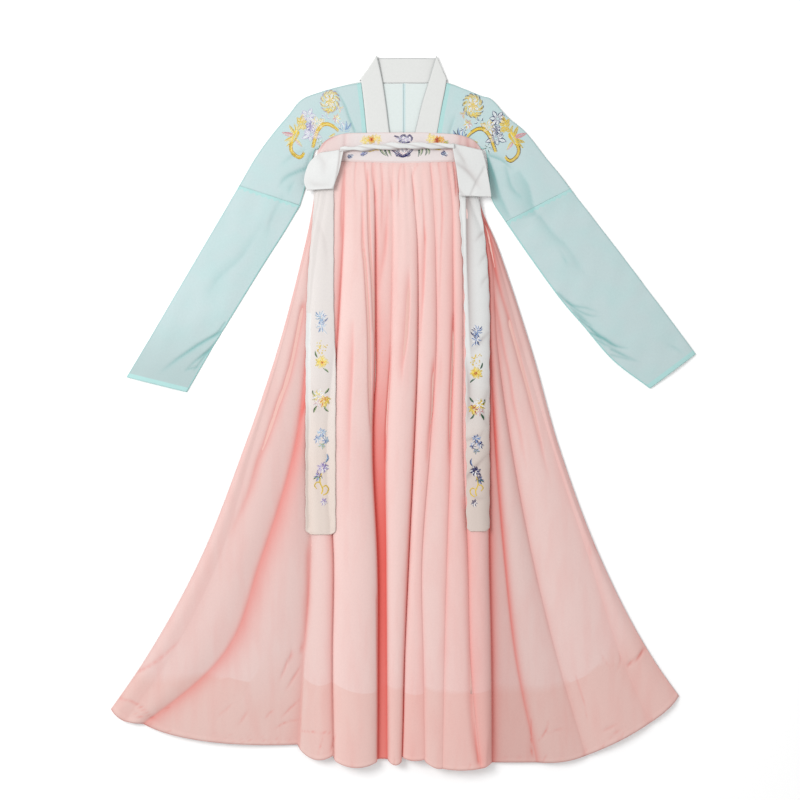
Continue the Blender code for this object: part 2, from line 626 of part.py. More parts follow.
# ---------------------------------------------------------------- ties and ribbons
def make_tie(collection, material):
    """A soft twisted cord of doubled ribbon across the band."""
    columns, rows = 8, 20

    def place(column, row):
        share = row / rows
        angle = 2 * math.pi * column / columns
        twist = 2 * math.pi * TIE_TURNS * share
        taper = 0.55 + 0.45 * min(1.0, 6 * share, 6 * (1 - share))
        radius = TIE_RADIUS * (1 + TIE_LOBE * math.cos(2 * (angle - twist))) * taper
        across, along = between(TIE_START, TIE_END, share)
        return (across, along + radius * math.cos(angle),
                TIE_LEVEL + TIE_SQUASH * radius * math.sin(angle))

    grid = bent_grid(columns, rows, place, closed=True)
    bmesh.ops.holes_fill(grid, edges=[edge for edge in grid.edges if edge.is_boundary])
    bmesh.ops.triangulate(grid, faces=grid.faces)
    bmesh.ops.recalc_face_normals(grid, faces=grid.faces)
    add_object("tie", grid, material, collection)


def make_loop(name, front, collection, material):
    """A ribbon folded back on itself, its fold at the bottom."""
    lines = [((*row.first, row.level[0]), (*row.last, row.level[1])) for row in front]
    radius = (LOOP_GAP + RIBBON_WALL) / 2
    bottom = lines[-1]
    for angle in (35, 0, -35):
        turn = math.radians(angle)
        lines.append(tuple((x, y - radius * math.cos(turn), z - radius * (1 - math.sin(turn)))
                           for x, y, z in bottom))
    middle = (bottom[0][0] + bottom[1][0]) / 2
    for way in (0.0, 0.5, 1.0):
        lines.append(tuple((between(x, middle, (1 - LOOP_BACK_SHARE) * way),
                            y + LOOP_BACK_LENGTH * way, z - 2 * radius) for x, y, z in bottom))
    columns = 5
    grid = bent_grid(columns, len(lines) - 1,
                     lambda c, r: between(lines[r][0], lines[r][1], c / columns))
    add_wall(name, grid, RIBBON_WALL, 0, material, collection)


def make_streamer(name, edges, collection, material):
    """A long ribbon lying over the folds, from under its loop to its square end."""
    def place(column, row):
        edge = edges[row]
        across = between(edge.outer, edge.inner, column / STREAMER_COLUMNS)
        low = highest_near(across, edge.along, RIBBON_REACH)
        return (across, edge.along, low + RIBBON_CLEAR)

    grid = bent_grid(STREAMER_COLUMNS, len(edges) - 1, place)
    add_wall(name, grid, RIBBON_WALL, 1, material, collection)


def main():
    clear_scene()
    collection = bpy.data.collections.new("Hanfu robe")
    bpy.context.scene.collection.children.link(collection)
    cloth = {name: cloth_material(name) for name in CLOTHS}

    make_skirt_back(collection, cloth["pink chiffon"])
    make_skirt_lining(collection, cloth["pink lining"])
    make_skirt_front(collection, cloth["pink chiffon"])
    make_bands(collection, cloth["pink band satin"], cloth["pink chiffon"])
    make_blouse(collection, cloth["mint chiffon"])
    make_sleeve("sleeve_right", SLEEVE_RIGHT, collection, cloth["mint chiffon"])
    make_sleeve("sleeve_left", SLEEVE_LEFT, collection, cloth["mint chiffon"])
    make_collar(collection, cloth["white collar cloth"])
    make_tie(collection, cloth["white ribbon cloth"])
    make_loop("ribbon_loop_right", LOOP_RIGHT_FRONT, collection, cloth["white ribbon cloth"])
    make_loop("ribbon_loop_left", LOOP_LEFT_FRONT, collection, cloth["white ribbon cloth"])
    make_streamer("ribbon_streamer_right", STREAMER_RIGHT, collection, cloth["white ribbon cloth"])
    make_streamer("ribbon_streamer_left", STREAMER_LEFT, collection, cloth["white ribbon cloth"])


main()
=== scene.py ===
"""Looks of a hanfu robe laid flat: sheer mint blouse, gathered pink skirt and white ribbon ties.

Tables are in millimetres: "across" runs towards the wearer's left (+X), "along" towards the collar
(+Y), and "drop" down from the lower edge of the skirt's band. Left and right are the wearer's.
"""

import math
from collections import namedtuple

import bmesh
import bpy
import numpy as np
from mathutils.kdtree import KDTree
from bpy.props import FloatProperty, FloatVectorProperty, PointerProperty
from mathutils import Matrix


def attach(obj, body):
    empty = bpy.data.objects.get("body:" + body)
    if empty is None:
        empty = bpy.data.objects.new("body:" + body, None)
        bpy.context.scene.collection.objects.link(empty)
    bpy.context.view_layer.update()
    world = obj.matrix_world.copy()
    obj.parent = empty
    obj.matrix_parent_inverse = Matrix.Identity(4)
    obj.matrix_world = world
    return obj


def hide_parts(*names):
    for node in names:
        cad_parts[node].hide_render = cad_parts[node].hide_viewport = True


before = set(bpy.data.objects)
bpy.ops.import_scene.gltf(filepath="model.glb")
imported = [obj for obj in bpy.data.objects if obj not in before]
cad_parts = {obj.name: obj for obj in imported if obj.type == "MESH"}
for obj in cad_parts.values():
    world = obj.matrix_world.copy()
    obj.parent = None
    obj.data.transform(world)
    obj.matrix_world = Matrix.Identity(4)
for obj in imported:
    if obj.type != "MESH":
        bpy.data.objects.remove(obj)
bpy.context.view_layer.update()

bl_info = {
    "name": "Hanfu robe laid flat",
    "version": (1, 0, 0),
    "blender": (4, 5, 0),
    "location": "3D View > Sidebar > Hanfu",
    "description": "Builds the cloth, ribbons and embroidery of a hanfu robe laid flat",
    "category": "Mesh",
}

MM = 0.001


def rows_of(kind, rows):
    """A table's rows, each with its columns named."""
    return tuple(kind(*row) for row in rows)


# ---------------------------------------------------------------- the cut, as the solids have it
CLOTH = 1.0            # room each layer of plain cloth takes
SKIRT_WALL = 1.2
SEAM_GAP = 0.3         # between pieces that are sewn together
LINING_GAP = 0.5
LAPEL_ROOM = 0.8       # from the blouse's edge to the collar's seamed edge
BAND_LINE = 476.0      # "along" of the band's lower edge at the sides
BAND_SAG = 2.0         # and this much lower in its middle
BAND_HALF = 160.0      # where that dip ends, to either side
BAND_HEIGHT = 57.0
BAND_TOP = 6.8         # height of the band's outer face
HEM_TURN = 4.0         # the skirt's back stops this much above its hem's line
BACK_INSET = 2.5       # from the front's side edges to the back's
GATHER_RISE = 3.6      # how high the gathers stand,
GATHER_START = 0.35    # the share of it that they have at the band,
GATHER_GROW = 18.0     # the drop over which they fill out,
GATHER_FADE = 170.0    # the drop over which they fade,
GATHER_ROOM = 8.0      # and the height of their cloth from which they stand in full
CREST_RADIUS = 3.4     # no crest is bent tighter than this
BLOUSE_HEM = 130.0
BED = 1.3              # the blouse's back lies this high above the floor
SLEEVE_CROWN = 3.2     # how high a sleeve's upper layer rises between its edges
LAPEL_TOP = 4.0        # height of the collar strip's outer face on the chest
RIBBON_REACH = 3.0     # a streamer lies on the highest cloth within about this distance,
RIBBON_CLEAR = 0.5     # this far above it,
RIBBON_EASE = 7        # and evens it out over this many rows
RIBBON_WALL = 1.1

# Drops at which the tables below give a valley's place, and a fold's heights and tints.
STATIONS = (0, 75, 165, 355, 545, 755, 945, 1135)
LEVELS = (0, 300, 700, 1135)

# Each valley of the skirt: place across at each station, height at each level, how deep the painted
# shade beside it is at each level, and how far that shade spreads to the wearer's right and left.
Valley = namedtuple("Valley", "name across floor tint spread")
VALLEYS = rows_of(Valley, (
    ("right_edge", (-165, -172, -190, -240, -305, -388, -493, -628),
     (2.9, 2.9, 2.9, 2.9), (0.25, 0.15, 0.08, 0.05), (4, 5)),
    ("edge_roll", (-158, -166, -185, -233, -288, -352, -448, -587),
     (6, 6.4, 9, 9), (0.1, 0.04, 0.04, 0.04), (12, 14)),
    ("long_sweep", (-150, -158, -174, -184, -208, -272, -352, -590),
     (8.2, 8, 6.8, 7.4), (0.2, 0.6, 0.56, 0.4), (5, 26)),
    ("under_ribbon", (-137, -147, -163, -177, -178, -177, -190, -200),
     (8.6, 8, 6.8, 6.8), (0.25, 0.03, 0.12, 0.25), (15, 2)),
    ("crisp_right", (-112, -113, -116, -127, -143, -133, -135, -132),
     (8.6, 9, 11, 12), (0.2, 0.6, 0.4, 0.2), (8, 2)),
    ("deep_right", (-58, -55, -54, -54, -59, -50, -49, -50),
     (8.6, 8.6, 7.2, 7.2), (0.1, 0.75, 0.8, 0.5), (2.2, 5)),
    ("deep_left", (-21, -21, -21, -25, -34, -33, -32, -31),
     (8.6, 10, 7.2, 7.2), (0.1, 0.15, 0.32, 0.35), (3, 3)),
    ("crisp_middle", (13, 20, 26, 26, 19, 9, 1, -4), (8.6, 12, 9, 12), (0, 0.45, 0.75, 0.3), (4, 1.6)),
    ("soft_middle", (51, 56, 60, 61, 49, 34, 37, 40),
     (8.6, 14, 20.5, 23), (0.1, 0.3, 0.25, 0.15), (7, 3)),
    ("soft_left", (84, 92, 93, 93, 88, 81, 76, 73), (8.6, 13, 20, 24.5), (0.2, 0.35, 0.3, 0.1), (8, 4)),
    ("shadow_left", (98, 106, 111, 112, 112, 121, 126, 144),
     (8.6, 13.5, 18.5, 24), (0.12, 0.15, 0.2, 0.1), (7, 6)),
    ("crisp_left", (112, 121, 152, 160, 160, 162, 166, 167),
     (8.6, 8, 7, 7), (0.55, 0.8, 0.8, 0.6), (1.8, 10)),
    ("beside_left", (121, 128, 157, 165, 174, 191, 213, 252),
     (8.6, 8, 7.2, 7.2), (0.6, 0.6, 0.75, 0.4), (2.2, 7)),
    ("panel_left", (128, 134, 164, 178, 205, 245, 292, 348),
     (8, 8, 7.4, 8), (0.6, 0.4, 0.26, 0.08), (4, 6)),
    ("hip_left", (134, 139, 173, 226, 283, 352, 414, 500),
     (6, 6.8, 9, 9), (0.6, 0.1, 0.1, 0.05), (12, 8)),
    ("left_edge", (139, 144, 180, 242, 296, 375, 475, 617),
     (2.9, 2.9, 2.9, 2.9), (0.5, 0.25, 0.15, 0.1), (6, 5)),
))

# Each fold between two valleys: mesh columns, gathers, sharpness and crest at each level as in the
# solid, the drop of the hem at its right, crest and left, how round its top is (low is flat and
# pressed), and the painted shade on its own cloth at each level.
Fold = namedtuple("Fold", "name columns gathers sharp crest hem round tint")
FOLDS = rows_of(Fold, (
    ("edge_right", 10, 1, 1.3, (6, 7, 11, 9.5), (1037, 1050, 1059), 1.2, (0.02, 0.06, 0.1, 0.04)),
    ("sweep_right", 18, 1, 1.8, (8.4, 9, 14, 13), (1059, 1062, 1064), 1.3, (0.02, 0.06, 0.08, 0.02)),
    ("panel_right", 66, 2, 1.5, (8.8, 12, 18, 15), (1064, 1097, 1103), 1, (0.1, 0.04, 0.04, 0.03)),
    ("under_ribbon", 22, 2, 1.15, (8.9, 15, 22, 23), (1110, 1130, 1121), 0.4, (0, 0.03, 0.03, 0)),
    ("broad_middle", 48, 2, 1.1, (9, 24, 34, 36), (1131, 1143, 1134), 0.33, (0, 0, 0.02, 0)),
    ("deep_bottom", 20, 2, 1.6, (9, 12, 8.2, 8), (1131, 1130, 1131), 0.8, (0, 0.18, 0.85, 0.66)),
    ("centre", 34, 3, 1.2, (9, 22, 26, 24), (1131, 1140, 1134), 0.35, (0, 0.04, 0.03, 0.04)),
    ("narrow_centre", 28, 2, 1.25, (9, 19, 25, 25), (1126, 1131, 1128), 0.45, (0, 0.05, 0.05, 0.12)),
    ("left_of_centre", 22, 1, 1.3, (9, 18, 24, 27), (1132, 1143, 1145), 0.5, (0, 0.1, 0.03, 0.02)),
    ("soft_left", 26, 1, 1.5, (9, 18, 25, 29), (1145, 1148, 1145), 0.55, (0, 0.08, 0.1, 0.05)),
    ("under_streamer", 14, 1, 1.3, (9, 18, 26, 28), (1145, 1142, 1137), 0.5, (0, 0.12, 0.18, 0.2)),
    ("in_shadow", 14, 1, 1.8, (8.8, 9, 9.5, 9), (1137, 1137, 1137), 0.9, (0.5, 0.42, 0.24, 0.2)),
    ("panel_left", 32, 1, 1.7, (8.6, 12, 18, 16), (1137, 1135, 1124), 0.8, (0.35, 0.2, 0.08, 0.1)),
    ("sweep_left", 42, 1, 1.8, (7.6, 9, 16, 15), (1124, 1095, 1062), 1, (0.4, 0.15, 0.04, 0.05)),
    ("edge_left", 20, 1, 1.3, (6, 7.6, 12, 10.5), (1062, 1038, 1012), 1.1, (0.3, 0.1, 0.08, 0.05)),
))
PRESSED = (1, 0.95, 0.8, 0.72)  # share of the solid's crests that the cloth keeps at each level
FINE_GATHERS = 0.2     # share of the gathers' height that the finer cloth has
FOLD_BUNCHING = 0.55   # how much closer the mesh's columns lie at a fold's valleys
TINT_FALL = 1.3        # how sharply the painted shade beside a fold or crease ends
CREASE_STEP = 4.0      # from one point of a crease's line to the next
# Rows of the skirt's mesh, as shares of the way down: close together at the band and the hem.
SKIRT_ROWS = np.concatenate(((-0.003, -0.001), np.linspace(0.001, 0.1, 14, endpoint=False),
                             np.linspace(0.1, 0.86, 58, endpoint=False),
                             np.linspace(0.86, 1.0, 38)))
# Where the cloth is darkened with grey, as painted shade: place (fold number and share across it) and how
# much.
GREY_SHADE_PLACES = ((0, 0.43), (2.4, 0.4), (3.1, 0.35), (3.6, 0), (10.8, 0.04), (11.1, 0.75), (12.2, 0.6),
            (13.2, 0.25), (15, 0.22))
GREY_SHADE_HIGH = ((165, 0.72), (320, 0.42), (500, 0))  # more of that painted shade on the wearer's left side: drop and how much,
GREY_SHADE_FROM = 11       # from this fold to the left edge
GREY_SHADE_FILTER = (0.78, 0.9, 0.9)  # and what it leaves of each colour
HEM_WIDTH = 9.0        # turned and stitched hem of the skirt
HEM_ROLL = (1.6, 0.4)  # its very edge is deeper: from this far off it to this far
SEAM_LEVEL = 5.4       # the skirt's cloth starts at this height, tucked under the band
SEAM_RISE = 7.0        # and comes up within about this distance,
SEAM_TUCK = 2.0        # from this far above the band's lower edge

# Where the lining's hem shows through: place (fold number and share across it), share of the way
# down, and how softly it fades in millimetres.
LiningEdge = namedtuple("LiningEdge", "place share softness")
LINING_EDGE = rows_of(LiningEdge, (
    (0, 0.93, 12), (1.6, 0.92, 10), (2.2, 0.905, 3), (2.26, 0.899, 1), (2.5, 0.897, 1),
    (2.53, 0.895, 60), (2.98, 0.88, 60), (3.02, 0.876, 1), (3.98, 0.875, 1), (4.02, 0.869, 1),
    (4.9, 0.881, 1), (5, 0.88, 8), (6, 0.874, 4), (6.98, 0.873, 4), (7.02, 0.8895, 1),
    (7.98, 0.8895, 1), (8.02, 0.8735, 4), (9, 0.872, 5), (9.85, 0.872, 3), (9.9, 0.8765, 1),
    (10.97, 0.8765, 1), (11.02, 0.877, 12), (13, 0.877, 8), (13.07, 0.877, 4), (13.09, 0.8806, 1),
    (13.34, 0.8806, 1), (13.4, 0.879, 3), (13.6, 0.874, 3), (14, 0.87, 25), (15, 0.87, 40),
))

# A crease: its path over the cloth, how far it spreads to either side (the wearer's right first, on
# one that runs down), its depth, and the strength of its painted shade along the path.
Crease = namedtuple("Crease", "path spread depth tint")
SKIRT_CREASES = rows_of(Crease, (
    # pleats pressed in below the band
    (((-79, 415), (-78, 320), (-74, 284), (-68, 189), (-66, 121), (-65, 43), (-62, -22)), (2.2, 2.6), 4,
     (0.15, 0.5, 0.7, 0.85, 0.92, 0.92, 0.6)),
    (((-69, 459), (-68, 406), (-65, 320), (-60, 248), (-57, 159)), (2, 2.2), 3,
     (0.2, 0.6, 0.75, 0.7, 0.5)),
    (((-55, 420), (-54, 320), (-55, 181), (-54, 77), (-59, 22)), (2, 2.2), 2,
     (0.1, 0.4, 0.25, 0.55, 0.2)),
    (((-104, 475), (-113, 455), (-116, 430), (-119, 390), (-118, 330)), (1.6, 3), 0.8,
     (0.1, 0.12, 0.2, 0.3, 0.3)),
    (((-91, 475), (-93, 452), (-93, 420), (-88, 385)), (1.6, 2.4), 0.8, (0.2, 0.18, 0.12, 0)),
    (((-74, 475), (-73, 455), (-71, 440)), (1.4, 2), 0.8, (0.25, 0.25, 0.2)),
    (((-60, 475), (-60, 450), (-56, 425), (-55, 400)), (1.4, 2), 0.8, (0.28, 0.28, 0.3, 0.3)),
    (((-28, 475), (-28, 450), (-24, 430), (-23, 410)), (1.5, 2.2), 0.8, (0.1, 0.12, 0.22, 0.2)),
    (((-5, 475), (-10, 450), (-10, 420), (-12, 385)), (1.4, 2), 0.8, (0.14, 0.2, 0.25, 0)),
    (((0, 475), (2, 452), (1, 425)), (1.3, 1.8), 0.6, (0.14, 0.1, 0)),
    (((26, 475), (16, 452), (18, 425), (20, 400)), (1.5, 2.2), 0.8, (0.14, 0.22, 0.28, 0.2)),
    (((36, 440), (35, 415), (37, 385), (38, 350), (40, 320)), (1.4, 2.4), 0.8, (0, 0.12, 0.25, 0.4, 0.4)),
    (((49, 475), (52, 450), (55, 425)), (1.4, 2), 0.8, (0.22, 0.18, 0.12)),
    (((65, 475), (69, 447), (71, 415), (72, 375), (70, 320), (68, 250), (66, 180)), (1.5, 2.4), 0.8,
     (0.25, 0.24, 0.34, 0.38, 0.25, 0.16, 0)),
    (((82, 475), (84, 450), (84, 425)), (1.3, 1.8), 0.6, (0.22, 0.16, 0)),
    (((93, 475), (97, 440), (98, 415)), (1.4, 2.4), 0.8, (0.45, 0.5, 0.5)),
    (((101, 460), (103, 430), (107, 390), (109, 340)), (1.3, 2), 0.8, (0.2, 0.3, 0.3, 0.1)),
    (((-44, 475), (-42, 450), (-41, 420), (-42, 375), (-44, 320)), (1.6, 2.4), 0.8,
     (0.18, 0.28, 0.3, 0.26, 0)),
    (((-33, 360), (-34, 330), (-35, 290)), (1.4, 2), 0.6, (0, 0.18, 0.12)),
    (((-28, 450), (-34, 343), (-40, 288), (-46, 244)), (6, 4), 1, (0, 0.3, 0.3, 0.1)),
    (((10, 269), (10, 216), (7, 159), (4, 130), (-2, 94), (-4, 54)), (9, 1.6), 2.5,
     (0.1, 0.42, 0.42, 0.38, 0.25, 0)),
    (((41, 358), (40, 311), (37, 235), (33, 178), (30, 121)), (6, 1.8), 1.5, (0, 0.35, 0.35, 0.25, 0)),
    (((70, 130), (70, 83), (70, 26)), (4, 3), 0.8, (0, 0.15, 0)),
    (((-96, 174), (-97, 94), (-101, 9), (-103, -69), (-106, -202)), (8, 2), 1.5,
     (0.1, 0.38, 0.32, 0.15, 0)),
    (((94, 190), (93, 150), (93, 121), (89, 26), (87, -40), (86, -90)), (3.5, 1.5), 3,
     (0.3, 0.6, 0.93, 0.93, 0.6, 0.15)),
    (((57, 100), (55, 60), (54, 10), (49, -30), (44, -90)), (4, 1.5), 2.5, (0.2, 0.75, 0.75, 0.4, 0.15)),
    (((-25, 130), (-27, 80), (-31, 20), (-34, -30), (-35, -90)), (2, 1.6), 2,
     (0.1, 0.35, 0.5, 0.45, 0.15)),
    (((1, -455), (0, -520), (-1, -585), (-3, -650)), (0.9, 0.9), 3, (0.2, 0.9, 0.95, 0.75)),
    (((-52, -350), (-51, -450), (-50, -560), (-51, -650)), (1.2, 1.6), 1, (0.5, 0.6, 0.3, 0.2)),
    (((112, -164), (120, -240), (122, -354), (125, -468), (129, -582), (141, -655)), (6, 5), 2,
     (0.2, 0.25, 0.15, 0.25, 0.3, 0.3)),
    # sweeping folds of the sides
    (((200, 174), (222, 94), (240, 26), (256, -43), (268, -96), (282, -145)), (5, 2.5), 2.5,
     (0.42, 0.42, 0.38, 0.3, 0.12, 0)),
    (((154, 364), (165, 311), (177, 254), (186, 220), (200, 174)), (3, 4), 2, (0.8, 0.8, 0.6, 0.45, 0.4)),
    (((166, 240), (174, 205), (182, 168), (190, 120), (200, 73), (207, 26), (217, -22), (226, -69), (234,
     -117)), (4, 2.5), 1.2, (0, 0.3, 0.34, 0.34, 0.34, 0.3, 0.24, 0.15, 0)),
    (((168, 45), (170, 5), (173, -41), (176, -88), (182, -135)), (1.8, 2.5), 0.8, (0, 0.5, 0.6, 0.35, 0)),
    (((-192, 206), (-217, 85), (-243, 7), (-262, -50), (-277, -88), (-293, -145), (-312, -191), (-334,
     -240)), (4, 8), 2.5, (0.5, 0.6, 0.6, 0.5, 0.42, 0.35, 0.2, 0)),
    (((-184, 48), (-186, 26), (-190, 8), (-197, -14)), (4, 2), 0.8, (0, 0.7, 0.7, 0)),
    (((-179, -232), (-182, -270), (-182, -350), (-187, -430)), (5, 6), 0.8, (0, 0.35, 0.42, 0.2)),
    # rumples at the edges and the hem
    (((-502, -489), (-467, -468), (-437, -442), (-422, -427)), (2.4, 2.4), 1.2, (0.3, 0.3, 0.2, 0)),
    (((-542, -539), (-513, -546), (-490, -563), (-479, -575), (-464, -579)), (2.2, 1.1), 1.5,
     (0.25, 0.3, 0.3, 0.25, 0)),
    (((-519, -560), (-496, -575), (-471, -577)), (2.2, 1.1), 1.3, (0, 0.35, 0)),
    (((-445, -552), (-448, -560), (-452, -567)), (1.1, 1.1), 1.3, (0, 0.42, 0)),
    (((-188, -440), (-217, -461), (-228, -487), (-238, -510)), (1.4, 2.8), 1.56, (0.28, 0.35, 0.28, 0)),
    (((-192, -472), (-209, -499), (-228, -529)), (1.4, 2.8), 1.56, (0, 0.35, 0)),
    (((-194, -539), (-215, -558), (-236, -580)), (1.4, 1.4), 1.56, (0, 0.45, 0)),
    (((-192, -579), (-226, -586), (-251, -601)), (1.4, 1.4), 1.3, (0, 0.35, 0)),
    (((-294, -560), (-308, -579), (-321, -596)), (1.1, 2.2), 1.56, (0, 0.35, 0)),
    (((-325, -546), (-338, -560), (-353, -573)), (1.1, 2.2), 1.3, (0, 0.28, 0)),
    (((-243, -560), (-255, -567), (-264, -580)), (1.1, 1.7), 1.3, (0, 0.35, 0)),
    (((424, -476), (441, -463), (456, -446)), (2.2, 1.4), 3.25, (0.28, 0.5, 0.5)),
    (((365, -250), (355, -257), (350, -273)), (1.4, 1.4), 1.3, (0.42, 0.35, 0)),
    (((369, -607), (388, -594), (414, -586)), (1.7, 1.7), 1.56, (0, 0.22, 0)),
    (((384, -622), (399, -605), (426, -586)), (1.4, 1.4), 1.56, (0, 0.22, 0)),
    (((268, -607), (289, -599), (319, -596)), (1.4, 1.4), 1.3, (0, 0.22, 0)),
    (((251, -624), (268, -601), (274, -575)), (1.4, 1.4), 1.3, (0, 0.42, 0)),
    (((369, -449), (380, -468), (393, -484)), (1.1, 1.7), 1.04, (0, 0.17, 0)),
    (((405, -446), (410, -468), (397, -499)), (1.7, 1.1), 1.04, (0, 0.2, 0)),
    (((325, -497), (340, -544), (348, -586)), (1.1, 1.1), 0.78, (0.14, 0.21, 0.07)),
    (((132, -560), (135, -611), (140, -655)), (1.7, 1.7), 1.2, (0, 0.3, 0.4)),
    (((241, -579), (241, -620), (243, -653)), (1, 1), 1.04, (0.28, 0.5, 0.5)),
    (((-192, -601), (-167, -601), (-139, -603)), (1, 1), 0.65, (0.35, 0.35, 0.35)),
    (((-156, -603), (-156, -620), (-162, -643)), (1.1, 1.1), 1.3, (0.14, 0.42, 0.14)),
    (((-129, -607), (-135, -624), (-139, -639)), (1.1, 1.1), 1.3, (0.14, 0.42, 0.14)),
))
# Small puckers above the hem: place across, height above the hem, lean and strength of painted shade.
Pucker = namedtuple("Pucker", "across rise lean tint")
PUCKERS = rows_of(Pucker, (
    (-350, 22, 8, 0.14), (-336, 16, 6, 0.12), (-321, 24, 9, 0.16), (-304, 18, 7, 0.16),
    (-289, 26, 8, 0.18), (-278, 14, 6, 0.14), (-262, 24, 8, 0.18), (-251, 15, 5, 0.16),
    (-236, 22, 7, 0.18), (-213, 18, 6, 0.14), (-404, 15, 10, 0.14), (-440, 20, 12, 0.2),
    (-472, 14, 9, 0.16), (-96, 12, 3, 0.1), (-18, 16, -2, 0.12), (96, 12, -3, 0.1), (122, 20, -5, 0.2),
    (188, 14, -4, 0.14), (214, 18, -6, 0.14), (262, 20, -9, 0.2), (290, 14, -8, 0.14),
    (338, 18, -10, 0.14), (372, 16, -10, 0.2), (404, 22, -14, 0.22), (430, 14, -10, 0.16),
    (462, 18, -12, 0.14), (498, 15, -10, 0.12),
))
# Creases of the blouse and its sleeves, then of the band.
MINT_CREASES = rows_of(Crease, (
    (((-179, 468), (-207, 457), (-226, 446), (-239, 428)), (2.8, 3.5), 1.2, (0.7, 0.6, 0.45, 0)),
    (((-152, 510), (-175, 493), (-184, 474)), (2.8, 4.2), 0.8, (0.3, 0.4, 0.2)),
    (((-205, 446), (-215, 430), (-220, 413)), (2.8, 2.8), 0.5, (0, 0.3, 0)),
    (((-260, 377), (-306, 301), (-352, 256), (-376, 219)), (9, 4.9), 0.8, (0, 0.22, 0.2, 0)),
    (((-344, 157), (-382, 136), (-408, 119), (-435, 100), (-466, 75)), (2.1, 4.2), 1.6,
     (0.6, 0.75, 0.7, 0.5, 0)),
    (((-388, 104), (-378, 113), (-367, 121)), (2.1, 2.1), 1, (0.2, 0.6, 0.3)),
    (((-393, 88), (-405, 85), (-418, 81)), (1.8, 1.8), 0.8, (0.4, 0.4, 0)),
    (((-127, 613), (-112, 586), (-103, 561), (-93, 537)), (2.8, 1.4), 1, (0.3, 0.5, 0.55, 0.6)),
    (((150, 493), (175, 484), (190, 476), (209, 459)), (1, 4.9), 1, (0.5, 0.6, 0.5, 0)),
    (((160, 484), (171, 453), (182, 415), (200, 375)), (16, 2.1), 1.2, (0.9, 0.75, 0.5, 0.3)),
    (((194, 468), (205, 430), (222, 411)), (4.9, 1.4), 0.8, (0.3, 0.5, 0.2)),
    (((220, 457), (236, 430), (243, 400), (249, 379)), (22, 2.1), 0.6, (0.2, 0.4, 0.42, 0.35)),
    (((258, 373), (285, 339), (312, 313), (334, 278), (357, 248)), (10, 2.8), 0.8,
     (0.3, 0.25, 0.2, 0.15, 0)),
    (((293, 314), (304, 295), (312, 276)), (2.1, 1.4), 0.6, (0, 0.35, 0)),
    (((294, 227), (319, 206), (350, 199), (374, 189)), (2.1, 2.8), 1, (0.5, 0.55, 0.3, 0)),
    (((319, 199), (334, 187), (350, 174)), (2.1, 2.1), 0.8, (0.4, 0.45, 0)),
    (((348, 155), (380, 142), (403, 128), (429, 123)), (2.1, 2.8), 1.2, (0.6, 0.75, 0.65, 0)),
    (((357, 145), (376, 134), (395, 123)), (2.1, 2.1), 0.8, (0.4, 0.45, 0)),
    (((386, 130), (418, 111), (448, 98)), (2.1, 2.1), 0.8, (0.2, 0.4, 0)),
    (((395, 111), (422, 104), (450, 98)), (2.1, 2.1), 0.6, (0.35, 0.35, 0)),
    (((498, 134), (513, 126), (526, 117)), (3.5, 2.1), 0.6, (0, 0.25, 0.1)),
    (((99, 571), (93, 552), (87, 533)), (4.2, 2.1), 0.8, (0, 0.25, 0.3)),
    (((323, 191), (343, 176), (362, 163)), (1.6, 2.4), 0.8, (0.5, 0.55, 0)),
    (((334, 178), (366, 152), (392, 132), (406, 127)), (1.6, 2.6), 1, (0.6, 0.6, 0.5, 0)),
    (((353, 164), (370, 145), (384, 126)), (1.5, 2.2), 0.8, (0.4, 0.5, 0)),
    (((310, 212), (330, 196), (352, 186), (375, 184)), (1.6, 2.4), 0.8, (0.5, 0.5, 0.4, 0)),
    (((394, 121), (412, 112), (430, 103)), (1.4, 2.2), 0.8, (0.5, 0.45, 0)),
    (((-352, 141), (-374, 118), (-400, 96), (-420, 76)), (1.8, 2.6), 1, (0.5, 0.55, 0.4, 0)),
    (((-362, 128), (-385, 100), (-398, 82)), (1.5, 2.2), 0.8, (0.5, 0.5, 0.2)),
    (((-340, 172), (-356, 152), (-376, 140)), (1.6, 2.4), 0.8, (0.5, 0.45, 0)),
    (((-370, 96), (-384, 78), (-392, 60)), (1.5, 2.2), 0.8, (0.45, 0.4, 0.1)),
    (((-190, 500), (-214, 488), (-236, 470)), (2, 4), 0.8, (0.2, 0.3, 0)),
    (((-232, 410), (-252, 370), (-262, 330)), (3, 5), 0.6, (0.1, 0.2, 0)),
))
BAND_CREASES = rows_of(Crease, (
    (((-159, 500), (-148, 517), (-135, 525), (-126, 531)), (2.5, 3.5), 1.2, (0.3, 0.6, 0.6, 0.3)),
    (((-112, 530), (-113, 508), (-116, 480)), (3, 5), 0.8, (0.2, 0.2, 0.2)),
    (((108, 532), (106, 508), (104, 482)), (5, 5), 0.8, (0.3, 0.3, 0.4)),
    (((120, 522), (122, 504), (126, 484)), (6, 6), 0.8, (0.46, 0.56, 0.56)),
    (((136, 512), (137, 498), (140, 482)), (6, 6), 0.8, (0.4, 0.5, 0.6)),
    (((-112, 499), (-60, 500), (0, 502), (50, 503), (88, 501)), (2.2, 2.2), 0.3,
     (0.35, 0.22, 0.16, 0.22, 0.35)),
))
